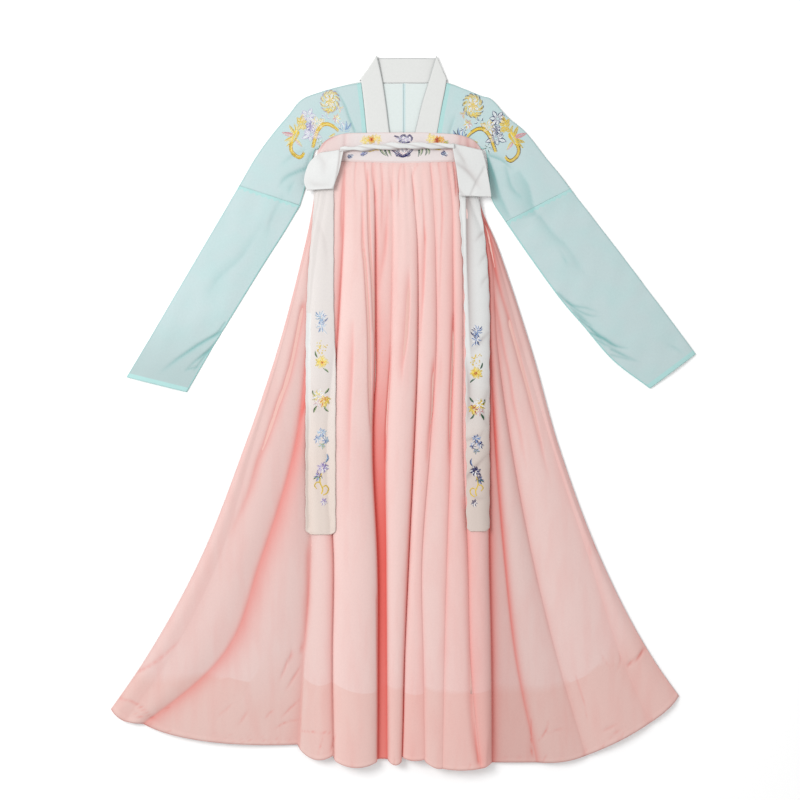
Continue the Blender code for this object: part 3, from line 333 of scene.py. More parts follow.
# Creases of the ribbons: the streamers', then the loops'.
STREAMER_CREASES = rows_of(Crease, (
    (((118, 409), (119, 311), (122, 216), (125, 140), (129, 79)), (1.2, 9), 1.6,
     (0.9, 0.8, 0.6, 0.45, 0)),
    (((156, 347), (144, 337), (133, 322)), (3, 3), 0.8, (0.3, 0.4, 0)),
    (((160, 305), (150, 295), (139, 276)), (3, 3), 0.6, (0.2, 0.3, 0)),
    (((158, 151), (144, 136), (129, 115)), (3, 5), 0.8, (0.3, 0.4, 0)),
    (((116, -50), (129, -47), (144, -37)), (3, 3), 0.8, (0.3, 0.5, 0)),
    (((156, -79), (137, -98), (118, -119)), (3, 4), 1, (0.2, 0.55, 0.4)),
    (((154, -26), (141, -47), (127, -62)), (3, 3), 0.8, (0, 0.45, 0)),
    (((120, -123), (133, -107), (144, -94)), (3, 3), 0.8, (0.2, 0.5, 0)),
    (((160, 263), (150, 250), (144, 235)), (3, 3), 0.5, (0.2, 0.25, 0)),
    (((116, 102), (122, 54), (122, 3), (118, -22)), (3, 7), 1.2, (0.2, 0.6, 0.5, 0)),
    (((158, 40), (150, 8), (157, -20)), (5, 3), 0.8, (0.2, 0.4, 0.2)),
    (((124, -150), (140, -160), (160, -158)), (4, 4), 0.8, (0, 0.3, 0)),
    (((-176, 390), (-150, 330), (-142, 260)), (6, 4), 0.6, (0, 0.12, 0)),
    (((-180, 60), (-160, 30), (-150, -10)), (5, 4), 0.6, (0, 0.12, 0)),
    (((-186, 15), (-168, 5), (-150, 2)), (3, 3), 0.5, (0, 0.15, 0)),
    (((-182, -95), (-165, -130), (-160, -180)), (6, 5), 0.6, (0, 0.12, 0)),
))
LOOP_CREASES = rows_of(Crease, (
    (((124, 409), (133, 430), (152, 466)), (5, 1.5), 1.6, (0.1, 0.18, 0.15)),
    (((103, 470), (118, 459), (133, 442), (142, 428)), (3, 6), 1.2, (0.3, 0.42, 0.34, 0.1)),
    (((100, 500), (112, 480), (120, 462)), (4, 4), 0.8, (0.2, 0.3, 0)),
    (((97, 440), (104, 424), (112, 414)), (5, 2), 0.8, (0, 0.3, 0.2)),
    (((-121, 500), (-124, 470), (-130, 436), (-136, 424)), (1.2, 2.5), 0.8, (0.5, 0.5, 0.5, 0.4)),
    (((-160, 488), (-150, 470), (-152, 445)), (6, 6), 0.8, (0.15, 0.16, 0)),
    (((-184, 440), (-165, 432), (-145, 432)), (4, 6), 0.8, (0, 0.2, 0.1)),
))

# Hem of the skirt's back: place across and drop.
BACK_HEM_ACROSS = (-560, -525, -470, -334, -200, -60, 165, 250, 350, 415, 477, 520)
BACK_HEM_DROP = (1012, 1046, 1062, 1088, 1096, 1122, 1128, 1122, 1108, 1086, 1050, 1000)

# The band: place across, upper and lower edge above the band line, and height of its outer face.
BAND_ACROSS = (-164.5, -160, -154, -141, -126, -110, -80, -45, -5, 35, 70, 98, 118, 131, 139, 144.5,
               148.5)
BAND_UPPER = (21, 29, 37, 46.5, 52, 55.5, 56.5, BAND_HEIGHT, BAND_HEIGHT, BAND_HEIGHT, 55.5, 53.5,
              49, 43, 36, 29, 21)
BAND_LOWER = (0, 0.5, 1, 2, 2.5, 2, 0.5, -1, -BAND_SAG, -1, 0.5, 1.5, 2, 1.5, 1, 0.5, 0)
BAND_LEVEL = (4.2, 5.8) + (BAND_TOP,) * 13 + (5.8, 4.2)
BAND_MIDDLE = (-140, 131)  # beyond these its ends curve down
BAND_ROLL = 1.2        # how far its edges roll down
BAND_PRESS = 0.4       # and all of it is pressed this much
# Where the band is pinker: place across and how much.
BAND_ENDS = ((-164, 1), (-128, 0.9), (-112, 0.45), (-80, 0), (62, 0), (96, 0.6), (112, 1))

# The blouse, a row for each line from the middle of the body out along the arm: its upper end, its
# yoke or underarm end, place across at the hem, what lies under both ends, and share of the crown.
Rib = namedtuple("Rib", "top yoke hem bed crown")
MIDDLE_RIGHT = rows_of(Rib, (
    ((0, 626.5), (0, 514), 0, (BED, BED), 0),
    ((-40, 626.5), (-39, 514), -38, (BED, BED), 0),
    ((-81.5, 629.5), (-79, 514), -76, (BED, BED), 0),
))
ARM_RIGHT = rows_of(Rib, (
    ((-120, 621), (-114, 514), -110, (BED, BED), 0.1),
    ((-160, 609.5), (-149, 512.5), -143, (BED, BED), 0.2),
    ((-195, 595), (-156, 508), None, (BED, BED), 0.4),
    ((-221, 564), (-163.5, 502), None, (1, BED), 0.6),
    ((-249, 531), (-171, 495), None, (0.4, BED), 0.8),
    ((-281, 487), (-186, 434), None, (0, 0), 1),
    ((-313, 432), (-197.5, 394.5), None, (0, 0), 1),
))
MIDDLE_LEFT = rows_of(Rib, (
    ((0, 626.5), (0, 514), 0, (BED, BED), 0),
    ((40, 626.5), (39, 514), 38, (BED, BED), 0),
    ((83.5, 627.5), (76, 514), 72, (BED, BED), 0),
))
ARM_LEFT = rows_of(Rib, (
    ((114, 616), (104, 514), 97, (BED, BED), 0.1),
    ((146, 603), (131, 513), 118, (BED, BED), 0.2),
    ((167, 595.5), (137, 509), None, (BED, BED), 0.4),
    ((196, 563), (146, 503), None, (1, BED), 0.6),
    ((231, 534), (156, 495), None, (0.4, BED), 0.8),
    ((268, 487), (161, 450), None, (0, 0), 1),
    ((293, 457), (167, 406), None, (0, 0), 1),
    ((316.5, 426), (193.5, 363), None, (0, 0), 1),
))
NECK_POINT = 627.5     # "along" of the fronts where they meet the neck
NECK_RIB_SHARE = 0.4   # and how far out to the next line one more is put in

# The collar's seamed and free edges up the lapels: along, across, along, across and outer face.
LAPEL_RIGHT = (
    (BLOUSE_HEM, -58.9, BLOUSE_HEM, -10.6, LAPEL_TOP), (300, -58.9, 300, -10.6, LAPEL_TOP),
    (424, -59.5, 424, -11.5, LAPEL_TOP), (482, -64, 482, -17, LAPEL_TOP),
    (531, -70, 531, -27, LAPEL_TOP), (577, -74.5, 585, -34, LAPEL_TOP + 0.1),
    (615, -79, 634, -41.5, LAPEL_TOP + 0.4),
)
LAPEL_LEFT = (
    (BLOUSE_HEM, 41, BLOUSE_HEM, -9.6, LAPEL_TOP), (300, 41, 300, -9.6, LAPEL_TOP),
    (424, 42, 424, -8.5, LAPEL_TOP), (482, 51, 482, 5, LAPEL_TOP),
    (531, 62, 531, 20, LAPEL_TOP), (577, 70, 585, 33, LAPEL_TOP + 0.1),
    (615, 77.5, 634, 48, LAPEL_TOP + 0.4),
)
# The strip folds over at both sides of the neck: seamed and free end of each fold. Between them it
# lies behind the neck: across and along of both its edges, and their heights.
NECK_FOLD_RIGHT = ((-81, 631.5), (-50.5, 675))
NECK_FOLD_LEFT = ((79.5, 631), (60, 674.5))
NECK_BACK = ((-40, 628, -34, 675), (0, 628, 3, 675.5), (42, 628, 40, 675))
NECK_FOLD_RADIUS = 1.9
COLLAR_WIDTH = 48.0
NECK_BACK_LEVELS = (2.5, 1.3)

# Lower sleeves: outer and inner edge of each section.
SLEEVE_RIGHT = (((-313.5, 431.5), (-198, 394)), ((-346, 376), (-229, 342)),
                ((-383, 313), (-268, 281)), ((-430, 233), (-316, 203)),
                ((-478, 151), (-363, 126)), ((-527, 69), (-412.5, 40.5)))
SLEEVE_LEFT = (((316.9, 425.4), (193.9, 362.4)), ((366, 362), (244, 290)),
               ((420, 292), (298, 216)), ((462, 236), (340, 167)),
               ((506, 178), (397, 101)), ((554, 113), (467, 47.5)))

# The tie: its ends, its radius, how flat and how lobed its section is, its turns, and how thick it
# is along its length: share of the way and share of the radius.
TIE_START, TIE_END = (-121, 500), (95, 506)
TIE_RADIUS, TIE_SQUASH, TIE_LOBE = 6.2, 0.55, 0.2
TIE_TURNS = 2.3
TIE_TAPER = ((0, 0.5), (0.05, 0.72), (0.12, 0.62), (0.2, 0.86), (0.32, 0.8), (0.45, 1),
             (0.6, 0.82), (0.75, 1), (0.9, 0.72), (1, 0.85))
TIE_BOW = 3.0          # how far its middle arches up
TIE_LEVEL = BAND_TOP + 0.4 + TIE_RADIUS * (1 + TIE_LOBE) * TIE_SQUASH

# Loops of ribbon: both ends of each crosswise line and their heights.
LOOP_RIGHT_FRONT = (
    ((-160, 494, 9), (-114, 501, 9.6)), ((-178, 477, 11.6), (-117, 484, 17.1)),
    ((-187, 455, 14.1), (-122, 460, 19.6)), ((-189, 437, 14.6), (-128, 442, 19.6)),
    ((-184, 423.5, 15.1), (-133, 426, 19.6)),
)
LOOP_LEFT_FRONT = (
    ((91, 512, 10.8), (148, 499, 9.2)), ((95, 485, 17.1), (154, 477, 12.1)),
    ((99, 462, 20.6), (158, 455, 16.6)), ((102, 436, 21.1), (162, 432, 17.6)),
    ((105, 413, 21.1), (165, 411, 18.1)),
)
LOOP_TURN = 3.0        # from one layer of a loop to the other
LOOP_BACK_LENGTH = 34  # how far the under layer goes back up
LOOP_BACK_SHARE = 0.8  # and narrows, to this share of the width

# Streamers: along, and across of the outer and inner edge.
STREAMER_RIGHT = (
    (440, -168, -131), (418, -170, -133), (380, -172, -133), (330, -176, -133), (275, -181, -133),
    (216, -184, -133), (150, -186, -131), (85, -186, -129), (20, -186, -129), (-45, -186, -129),
    (-110, -186, -129), (-170, -186, -129), (-222, -186, -129), (-228, -183, -132),
)
STREAMER_LEFT = (
    (430, 106, 140), (402, 105, 143), (360, 107, 150), (310, 110, 156), (260, 113, 160),
    (216, 114, 162), (150, 116, 163), (85, 116, 162), (20, 117, 163), (-45, 117, 162),
    (-110, 118, 163), (-170, 118, 162), (-216, 119, 162), (-222, 121, 160),
)

# ---------------------------------------------------------------- sewing and cloth
SEAM_WIDTH = 9.0       # seam allowance that shows through the blouse beside the collar
CUFF_HEM = 9.0         # turned hem of a cuff
SLEEVE_SEAM = 6.5      # seam allowance at mid-sleeve, drawn in by its stitches
SEAM_UNEVEN = 2.0      # how uneven those stitches make it, and how close together they are
SEAM_STITCH = 1.9
CUFF_SHADE = {"right": 0.75, "left": 0.1}  # how much darker each sleeve grows towards its cuff
SLEEVE_LIFT = 1.35     # the lower sleeve comes up to the upper one by this much,
SLEEVE_EASE = 14.0     # within this distance,
SLEEVE_TUCK = 1.5      # and its edge is tucked this far under
UNDERARM_SEAM = 2.2    # seam allowance along the underarm
EDGE_SHADE = 0.45       # painted shade along the folded edges of the arms
EDGE_SOFT = 1.8        # and how far it reaches
CENTRE_SEAM = 2.8      # half width of the seam down the middle of the back
NO_SEAM = -20.0        # value of a layer of doubled cloth where there is none,
DOUBLED = 20.0         # and where all of it is doubled
RIBBON_BORDER = 9.5    # doubled edge of the wearer's right streamer, and where it starts
BORDER_START = 190.0
RIBBON_SHADE = 0.18    # the left streamer's low end is this much darker
LOOSE_SIZE = 55.0      # size of the soft waves in the blouse's cloth
THREAD_PITCH = 1.6     # weave, drawn about five times as coarse as chiffon's so that it shows
WAVE_UNIT = 0.31416    # a wave texture of this scale has one band to the metre
CREPE_SIZE = 3.0       # size of chiffon's fine crinkle
CREPE_RELIEF = 2.5     # and how many times as high as the weave it stands
CLOUD_SIZE = 42.0      # size of the soft cloudy shading where sheer layers lie loosely on each other
CLOUD_STRETCH = (2.4, 0.45, 1)  # on the skirt that shading runs along the folds
STITCH_WIDTH = 0.95    # thread of the embroidery, drawn about twice as coarse as it is
STITCH_STEP = 0.9      # from one stitch to the next
STITCH_RISE = 0.35     # how far a stitch stands above its cloth,
STITCH_SINK = 0.1      # and how far its ends go into it
PETAL_EDGE = 1.35      # width of the thread along a petal's edge
GOLDEN_TURN = 2.4      # turn from one petal of a bunch to the next, which fills it evenly
FIBRE_SIZE = 0.8       # size of the unevenness along the thread
FLOOR_SIZE = 8.0       # metres


def linear(code):
    """A colour from its sRGB hex value, in linear light."""
    values = [int(code[i:i + 2], 16) / 255 for i in (1, 3, 5)]
    return tuple(v / 12.92 if v <= 0.04045 else ((v + 0.055) / 1.055) ** 2.4 for v in values)


def colour(label, code, text):
    """A colour that can be picked, with its sRGB hex value to start from."""
    return FloatVectorProperty(name=label, description=text, subtype="COLOR", size=3,
                               min=0.0, max=1.0, default=linear(code))


class HanfuColours(bpy.types.PropertyGroup):
    """Colours of the set's cloths."""
    pink: colour("Pink chiffon", "#e1c2bd", "Skirt where its lining lies behind it")
    pink_unlined: colour("Unlined pink", "#deb9b2", "Skirt below the lining's hem")
    pink_hem: colour("Pink hem", "#e2bdb6", "Turned hem of the skirt")
    # Painted shade in the skirt's folds and creases; also the deeper pink of its rolled hem edge and cloudy
    # tone.
    pink_deep: colour("Pink in the folds", "#d94a3e", "Skirt where many layers lie together")
    lining: colour("Lining", "#dcb0a7", "Lining of the skirt")
    band: colour("Band", "#d8cfce", "Middle of the skirt's band")
    band_edge: colour("Band edge", "#d7c1be", "Ends and lower edge of the band")
    # Painted shade in the band's creases.
    band_crease_shade: colour("Band creases", "#b4625c", "Band in its creases")
    mint: colour("Mint chiffon", "#bdd0d1", "Blouse and sleeves")
    mint_seam: colour("Mint seams", "#acd4d2", "Hems and seam allowances of the blouse")
    # Painted shade in the blouse's creases and along its folded edges.
    mint_deep: colour("Mint in the creases", "#6ba9a7", "Blouse in its creases")
    mint_single: colour("Single mint layer", "#d1d9d7", "Inside of the blouse's back")
    white: colour("Collar white", "#d2d3d1", "Collar strip")
    ribbon: colour("Ribbon white", "#d3cdca", "Tie, loops and streamers")
    ribbon_low: colour("Ribbon over pink", "#d3c5bc", "Lower ends of the sheer streamers")
    ribbon_doubled: colour("Doubled ribbon", "#d5d6d5", "Tie, loops and borders of two layers")
    # Colour the sleeves darken to towards their cuffs, the wearer's right one most.
    mint_cuff: colour("Mint cuffs", "#a9bcbc", "Lower ends of the sleeves, where the layers lie close")
    # Painted shade in the ribbons' creases, under the tie, on the loops' under layers and at a streamer's
    # low end; also their stitch lines.
    ribbon_shade_and_stitching: colour("Ribbon creases", "#958381", "Ribbons in their creases")


class HanfuSizes(bpy.types.PropertyGroup):
    """Sizes of the cloth."""
    wall: FloatProperty(name="Cloth wall", description="Thickness of each shell of cloth",
                        default=0.5 * MM, min=0.1 * MM, max=1.0 * MM, unit="LENGTH")
    weave: FloatProperty(name="Weave relief", description="Depth of the weave",
                         default=0.12 * MM, min=0.0, max=1.0 * MM, unit="LENGTH")


# ---------------------------------------------------------------- curves through tables
def smooth(places, values, at):
    """A smooth curve through values at places, read at an array of places."""
    places, values, at = (np.asarray(a, float) for a in (places, values, at))
    ahead = np.append(np.arange(1, len(places)), len(places) - 1)
    behind = np.append(0, np.arange(len(places) - 1))
    slope = (values[ahead] - values[behind]) / (places[ahead] - places[behind])
    step = np.clip(np.searchsorted(places, at) - 1, 0, len(places) - 2)
    width = places[step + 1] - places[step]
    t = (at - places[step]) / width
    inside = np.clip(t, 0, 1)
    curve = ((2 * inside ** 3 - 3 * inside ** 2 + 1) * values[step]
             + (inside ** 3 - 2 * inside ** 2 + inside) * slope[step] * width
             + (3 * inside ** 2 - 2 * inside ** 3) * values[step + 1]
             + (inside ** 3 - inside ** 2) * slope[step + 1] * width)
    beyond = (t - inside) * width * np.where(t > 1, slope[step + 1], slope[step])
    return curve + beyond


def smooth_rows(table, at):
    """A smooth surface line: every column of a table read at fractions of its row number."""
    table = np.asarray(table, float)
    flat = table.reshape(len(table), -1)
    rows = np.arange(len(table))
    lines = [smooth(rows, flat[:, i], at) for i in range(flat.shape[1])]
    return np.stack(lines, axis=-1).reshape(len(at), *table.shape[1:])


def eased(share):
    """A share that starts and stops softly."""
    share = np.clip(share, 0, 1)
    return share * share * (3 - 2 * share)


def blend(first, last, share):
    """Points between two lines of points, at an array of shares."""
    return first[:, None] + (last - first)[:, None] * share[None, :, None]


def direction(angle):
    """The way an angle points, across and along."""
    return np.array([math.cos(angle), math.sin(angle)])


def aside(way):
    """The way square to another."""
    return np.array([-way[1], way[0]])


def strip_shares(count, margin):
    """Shares of the way across a strip, close together at its two edges."""
    return np.concatenate(([0, 0.02, 0.05], np.linspace(margin, 1 - margin, count),
                           [0.95, 0.98, 1.0]))


# ---------------------------------------------------------------- the skirt's form
def valley(index, drop):
    """Place across of a valley at a drop below the band."""
    return smooth(STATIONS, VALLEYS[index].across, drop)


def fold_height(index, share, drop):
    """Height of the skirt's outer face at a share of the way across one fold."""
    fold = FOLDS[index]
    low_right = smooth(LEVELS, VALLEYS[index].floor, drop)
    low_left = smooth(LEVELS, VALLEYS[index + 1].floor, drop)
    low = low_right + (low_left - low_right) * eased(share)
    width = valley(index + 1, drop) - valley(index, drop)
    roundest = width ** 2 / (fold.sharp * math.pi ** 2 * CREST_RADIUS)
    rise = np.minimum(smooth(LEVELS, fold.crest, drop) - low, roundest) \
        * smooth(LEVELS, PRESSED, drop)
    arch = np.sin(math.pi * np.clip(share, 0, 1)) ** fold.round
    gather_rise = np.minimum(GATHER_RISE, (width / fold.gathers) ** 2
                             / (2 * math.pi ** 2 * CREST_RADIUS)) * FINE_GATHERS
    filling = GATHER_START + (1 - GATHER_START) * (1 - np.exp(-np.maximum(drop, 0) / GATHER_GROW))
    fading = np.exp(-(drop / GATHER_FADE) ** 2)
    gather = np.sin(math.pi * fold.gathers * share) ** 2
    full = low + rise * arch \
        + gather_rise * filling * fading * gather * np.minimum(low / GATHER_ROOM, 1)
    seam = np.minimum(full, SEAM_LEVEL)
    return seam + (full - seam) * eased((drop + SEAM_TUCK) / SEAM_RISE)


def hem_drop(index, share):
    """Drop of the hem at a share of the way across one fold."""
    right, crest, left = FOLDS[index].hem
    return right * (1 - share) * (1 - 2 * share) + 4 * crest * share * (1 - share) \
        + left * share * (2 * share - 1)


def fold_shade(index, across, drop):
    """Painted shade beside the two valleys of a fold, and on its own cloth."""
    clear = 1 - np.clip(smooth(LEVELS, FOLDS[index].tint, drop), 0, 1)
    for number in (index, index + 1):
        edge = VALLEYS[number]
        away = across - valley(number, drop)
        spread = np.where(away < 0, edge.spread[0], edge.spread[1])
        strength = np.clip(smooth(LEVELS, edge.tint, drop), 0, 1)
        clear = clear * (1 - strength * np.exp(-np.abs(away / spread) ** TINT_FALL))
    return 1 - clear


def fold_shares(index, columns):
    """Shares of the way across a fold, closer together towards its valleys."""
    step = np.arange(columns) / columns
    spread = FOLD_BUNCHING if FOLDS[index].gathers == 1 else FOLD_BUNCHING / 2
    return step - spread * np.sin(2 * math.pi * step) / (2 * math.pi)


def skirt_surface(ways, fineness=1.0, first=0, last=len(FOLDS) - 1, to_lining=False):
    """Points, painted shade, distance below the lining, its softness, distance from the hem and grey
    painted shade.
    """
    blocks = []
    for index in range(first, last + 1):
        share = fold_shares(index, max(4, round(FOLDS[index].columns * fineness)))
        if index == last:
            share = np.append(share, 1.0)
        hem = hem_drop(index, share)
        lined, soft = (np.interp(index + share, [edge.place for edge in LINING_EDGE],
                                 [getattr(edge, key) for edge in LINING_EDGE])
                       for key in ("share", "softness"))
        way = ways[:, None] * (lined[None, :] if to_lining else 1.0)
        drop = way * hem
        right, left = valley(index, drop), valley(index + 1, drop)
        across = right + (left - right) * share
        dip = BAND_SAG * np.maximum(0, 1 - (across / BAND_HALF) ** 2) + SEAM_GAP
        along = BAND_LINE - drop - dip * (1 - way)
        height = fold_height(index, share[None, :], drop)
        grey_shade = np.interp(index + share, *zip(*GREY_SHADE_PLACES)) \
            + np.interp(drop, *zip(*GREY_SHADE_HIGH)) * (index >= GREY_SHADE_FROM)
        blocks.append((np.stack((across, along, height), -1), fold_shade(index, across, drop),
                       drop - lined * hem, soft + 0 * drop, hem - drop, grey_shade))
    return [np.concatenate(parts, axis=1) for parts in zip(*blocks)]


def skirt_height_at(across, along):
    """Height of the skirt's outer face over places on the floor."""
    drop = BAND_LINE - along
    height = np.zeros(np.shape(across))
    for index in range(len(FOLDS)):
        right, left = valley(index, drop), valley(index + 1, drop)
        here = (right <= across) & (across <= left)
        share = np.where(here, (across - right) / np.maximum(left - right, 0.1), 0.5)
        height = np.where(here, fold_height(index, share, drop), height)
    return height


def highest_near(across, along, reach):
    """The skirt's greatest height within a reach of places on the floor."""
    steps = (-1.0, -0.5, 0.0, 0.5, 1.0)
    return np.max([skirt_height_at(across + i * reach, along + 2 * j * reach)
                   for i in steps for j in steps], axis=0)


def creased(points, creases):
    """Depth and painted shade of creases at rows of points."""
    lowered, tint = np.zeros(points.shape[:2]), np.zeros(points.shape[:2])
    for crease in creases:
        path = np.array(crease.path, float)
        length = np.linalg.norm(np.diff(path, axis=0), axis=1).sum()
        count = max(12, int(length / CREASE_STEP))
        at = np.linspace(0, len(path) - 1, count)
        line = smooth_rows(path, at)
        strength = np.interp(at, np.linspace(0, len(path) - 1, len(crease.tint)), crease.tint)
        reach = 3 * max(crease.spread)
        near = np.all((points[..., :2] > line.min(0) - reach)
                      & (points[..., :2] < line.max(0) + reach), axis=-1)
        if not near.any():
            continue
        gaps = points[near][:, None, :2] - line[None]
        nearest = np.argmin((gaps ** 2).sum(-1), axis=1)
        way = np.gradient(line, axis=0)[nearest]
        way /= np.linalg.norm(way, axis=1)[:, None]
        offset = gaps[np.arange(len(gaps)), nearest]
        beside = way[:, 0] * offset[:, 1] - way[:, 1] * offset[:, 0]
        ended = (nearest == 0) | (nearest == count - 1)
        beyond = np.where(ended, (offset * way).sum(1) / (2 * min(crease.spread)), 0)
        away = beside / np.where(beside < 0, crease.spread[0], crease.spread[1])
        here = strength[nearest] * np.exp(-beyond ** 2)
        lowered[near] += crease.depth * here / max(crease.tint) * np.exp(-away ** 2)
        tint[near] = 1 - (1 - tint[near]) * (1 - here * np.exp(-np.abs(away) ** TINT_FALL))
    return lowered, tint


def waved(points, size, height, seed):
    """Soft uneven waves laid over rows of points, as loose cloth has."""
    picked = np.random.default_rng(seed)
    wave = np.zeros(points.shape[:2])
    for _ in range(6):
        turn, phase = picked.uniform(0, 2 * math.pi, 2)
        length = size * picked.uniform(0.7, 1.6)
        wave += np.sin((points[..., 0] * math.cos(turn) + points[..., 1] * math.sin(turn))
                       * 2 * math.pi / length + phase)
    return height * wave / 3.5     # six waves seldom add up to more


def folded_edge_shade(away):
    """Painted shade within a short way of a folded edge."""
    return EDGE_SHADE * np.exp(-(away / EDGE_SOFT) ** 2)


# ---------------------------------------------------------------- meshes
def add_object(name, data, place=(0, 0, 0)):
    """Put a new object into the scene."""
    made = bpy.data.objects.new(name, data)
    made.location = place
    bpy.context.scene.collection.objects.link(made)
    return made


def cloth_object(name, points, material, wall=None, layers=None, closed=False, keep=None):
    """A sheet of cloth with a thin wall, from rows of points in millimetres."""
    rows, columns = points.shape[:2]
    grid = bmesh.new()
    bmesh.ops.create_grid(grid, x_segments=columns - 1, y_segments=rows - 1, size=0.5)
    mesh = bpy.data.meshes.new(name)
    grid.to_mesh(mesh)
    grid.free()
    flat = np.empty(len(mesh.vertices) * 3, np.float32)
    mesh.vertices.foreach_get("co", flat)
    flat = flat.reshape(-1, 3)
    column = np.rint((flat[:, 0] + 0.5) * (columns - 1)).astype(int)
    row = np.rint((0.5 - flat[:, 1]) * (rows - 1)).astype(int)
    mesh.vertices.foreach_set("co", (points[row, column] * MM).astype(np.float32).ravel())
    for key, values in (layers or {}).items():
        layer = mesh.attributes.new(key, "FLOAT", "POINT")
        layer.data.foreach_set("value", values[row, column].astype(np.float32))
    if closed or keep is not None:
        shape = bmesh.new()
        shape.from_mesh(mesh)
        if keep is not None:
            unused = [corner for corner, kept in zip(shape.verts, keep[row, column]) if not kept]
            bmesh.ops.delete(shape, geom=unused, context="VERTS")
        if closed:
            bmesh.ops.remove_doubles(shape, verts=shape.verts, dist=0.01 * MM)
            bmesh.ops.recalc_face_normals(shape, faces=shape.faces)
        shape.to_mesh(mesh)
        shape.free()
    mesh.shade_smooth()
    mesh.materials.append(material)
    piece = add_object(name, mesh)
    solidify = piece.modifiers.new("Cloth", "SOLIDIFY")
    solidify.thickness = bpy.context.scene.hanfu_sizes.wall if wall is None else wall * MM
    solidify.offset = -1
    return piece


def lay_cloth(node, points, material, slot, held, rests_on, keep=None, sewn=(), **form):
    """The cloth that stands for a node, with what is sewn on it."""
    piece = cloth_object(node + "_cloth", points, material, keep=keep, **form)
    flowers = [sew_on(*sewn, points, slot)] if sewn else []
    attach(piece, "root")
    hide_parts(node)


# ---------------------------------------------------------------- materials
def add_node(tree, kind, settings=None, links=None):
    """Add a node with its properties, socket values and incoming links."""
    made = tree.nodes.new(kind)
    for key, value in (settings or {}).items():
        if isinstance(key, int) or key in made.inputs:
            made.inputs[key].default_value = value
        else:
            setattr(made, key, value)
    for key, source in (links or {}).items():
        tree.links.new(source, made.inputs[key])
    return made


def new_material(name, roughness, sheen, alpha=1.0, specular=0.3):
    """An empty cloth material with its shader's plain values set."""
    material = bpy.data.materials.new(name)
    material.use_nodes = True
    tree = material.node_tree
    shader = tree.nodes["Principled BSDF"]
    shader.inputs["Roughness"].default_value = roughness
    shader.inputs["Sheen Weight"].default_value = sheen
    shader.inputs["Sheen Roughness"].default_value = 0.5
    shader.inputs["Specular IOR Level"].default_value = specular
    shader.inputs["Alpha"].default_value = alpha
    return material, tree, shader


def rgba(values):
    """A colour with full strength added."""
    return (*values, 1.0)


def mixed(tree, factor, first, second, mode="MIX"):
    """The outcome of a colour mix whose factor and ends are plain values or sockets."""
    settings, links = {"data_type": "RGBA", "blend_type": mode}, {}
    for key, value in ((0, factor), (6, first), (7, second)):
        if isinstance(value, bpy.types.NodeSocket):
            links[key] = value
        else:
            settings[key] = value if key == 0 else rgba(value)
    return add_node(tree, "ShaderNodeMix", settings, links).outputs[2]


def own_place(tree):
    """Coordinates that belong to the piece."""
    return add_node(tree, "ShaderNodeTexCoord").outputs["Object"]


def noise_at(tree, place, size, detail=2.0):
    """Uneven values whose patches have a size in millimetres."""
    return add_node(tree, "ShaderNodeTexNoise", {"Scale": 1 / (size * MM), "Detail": detail},
                    {"Vector": place}).outputs["Fac"]


def weave_on(tree, shader, base):
    """Give a cloth its colour with a fine slub, and the relief of its weave and crinkle."""
    place = own_place(tree)
    warp, weft = (add_node(tree, "ShaderNodeTexWave",
                           {"bands_direction": way, "Scale": WAVE_UNIT / (THREAD_PITCH * MM),
                            "Distortion": 0.4}, {"Vector": place}).outputs["Fac"] for way in "XY")
    crepe = noise_at(tree, place, CREPE_SIZE, 3.0)
    threads = add_node(tree, "ShaderNodeMath", {"operation": "MAXIMUM"}, {0: warp, 1: weft})
    relief = add_node(tree, "ShaderNodeMath", {"operation": "MULTIPLY_ADD", 1: CREPE_RELIEF},
                      {0: crepe, 2: threads.outputs[0]})
    bump = add_node(tree, "ShaderNodeBump",
                    {"Strength": 0.5, "Distance": bpy.context.scene.hanfu_sizes.weave},
                    {"Height": relief.outputs[0]})
    slub = step_at(tree, crepe, 0.3, 0.7, 0.965, 1.0)
    tree.links.new(mixed(tree, 1.0, base, slub, "MULTIPLY"), shader.inputs["Base Color"])
    tree.links.new(bump.outputs[0], shader.inputs["Normal"])


def layer_of(tree, name):
    """The value of one of a mesh's layers."""
    return add_node(tree, "ShaderNodeAttribute", {"attribute_name": name}).outputs["Fac"]


def step_at(tree, value, start, stop, low=0.0, high=1.0):
    """A factor that goes from low to high as a layer's value goes from start to stop."""
    return add_node(tree, "ShaderNodeMapRange",
                    {"From Min": start, "From Max": stop, "To Min": low, "To Max": high},
                    {"Value": value}).outputs[0]


def pink_chiffon():
    """Polyester chiffon, piece-dyed: pale where one layer lies over the lining, a pinker step below
    the lining's hem, painted shade in saturated red in its folds and creases, and grey painted shade."""
    colours = bpy.context.scene.hanfu_colours
    material, tree, shader = new_material("polyester_chiffon_pink", 0.72, 0.12)
    below = add_node(tree, "ShaderNodeMath", {"operation": "DIVIDE"},
                     {0: layer_of(tree, "below_lining"), 1: layer_of(tree, "lining_softness")})
    unlined = step_at(tree, below.outputs[0], -1.0, 1.0)
    base = mixed(tree, unlined, colours.pink, colours.pink_unlined)
    from_hem = layer_of(tree, "from_hem")
    hem = step_at(tree, from_hem, HEM_WIDTH + 0.5, HEM_WIDTH - 0.5, 0.0, 0.6)
    base = mixed(tree, hem, base, colours.pink_hem)
    base = mixed(tree, step_at(tree, from_hem, *HEM_ROLL, 0.0, 0.3), base, colours.pink_deep)
    streaks = add_node(tree, "ShaderNodeMapping", {"Scale": CLOUD_STRETCH}, {"Vector": own_place(tree)})
    cloud = step_at(tree, noise_at(tree, streaks.outputs[0], CLOUD_SIZE), 0.42, 0.78, 0.0, 0.09)
    base = mixed(tree, cloud, base, colours.pink_deep)
    base = mixed(tree, layer_of(tree, "tint"), base, colours.pink_deep)
    # Grey painted shade darkens the cloth where it lies in shade.
    weave_on(tree, shader, mixed(tree, layer_of(tree, "grey_shade"), base, GREY_SHADE_FILTER, "MULTIPLY"))
    return material


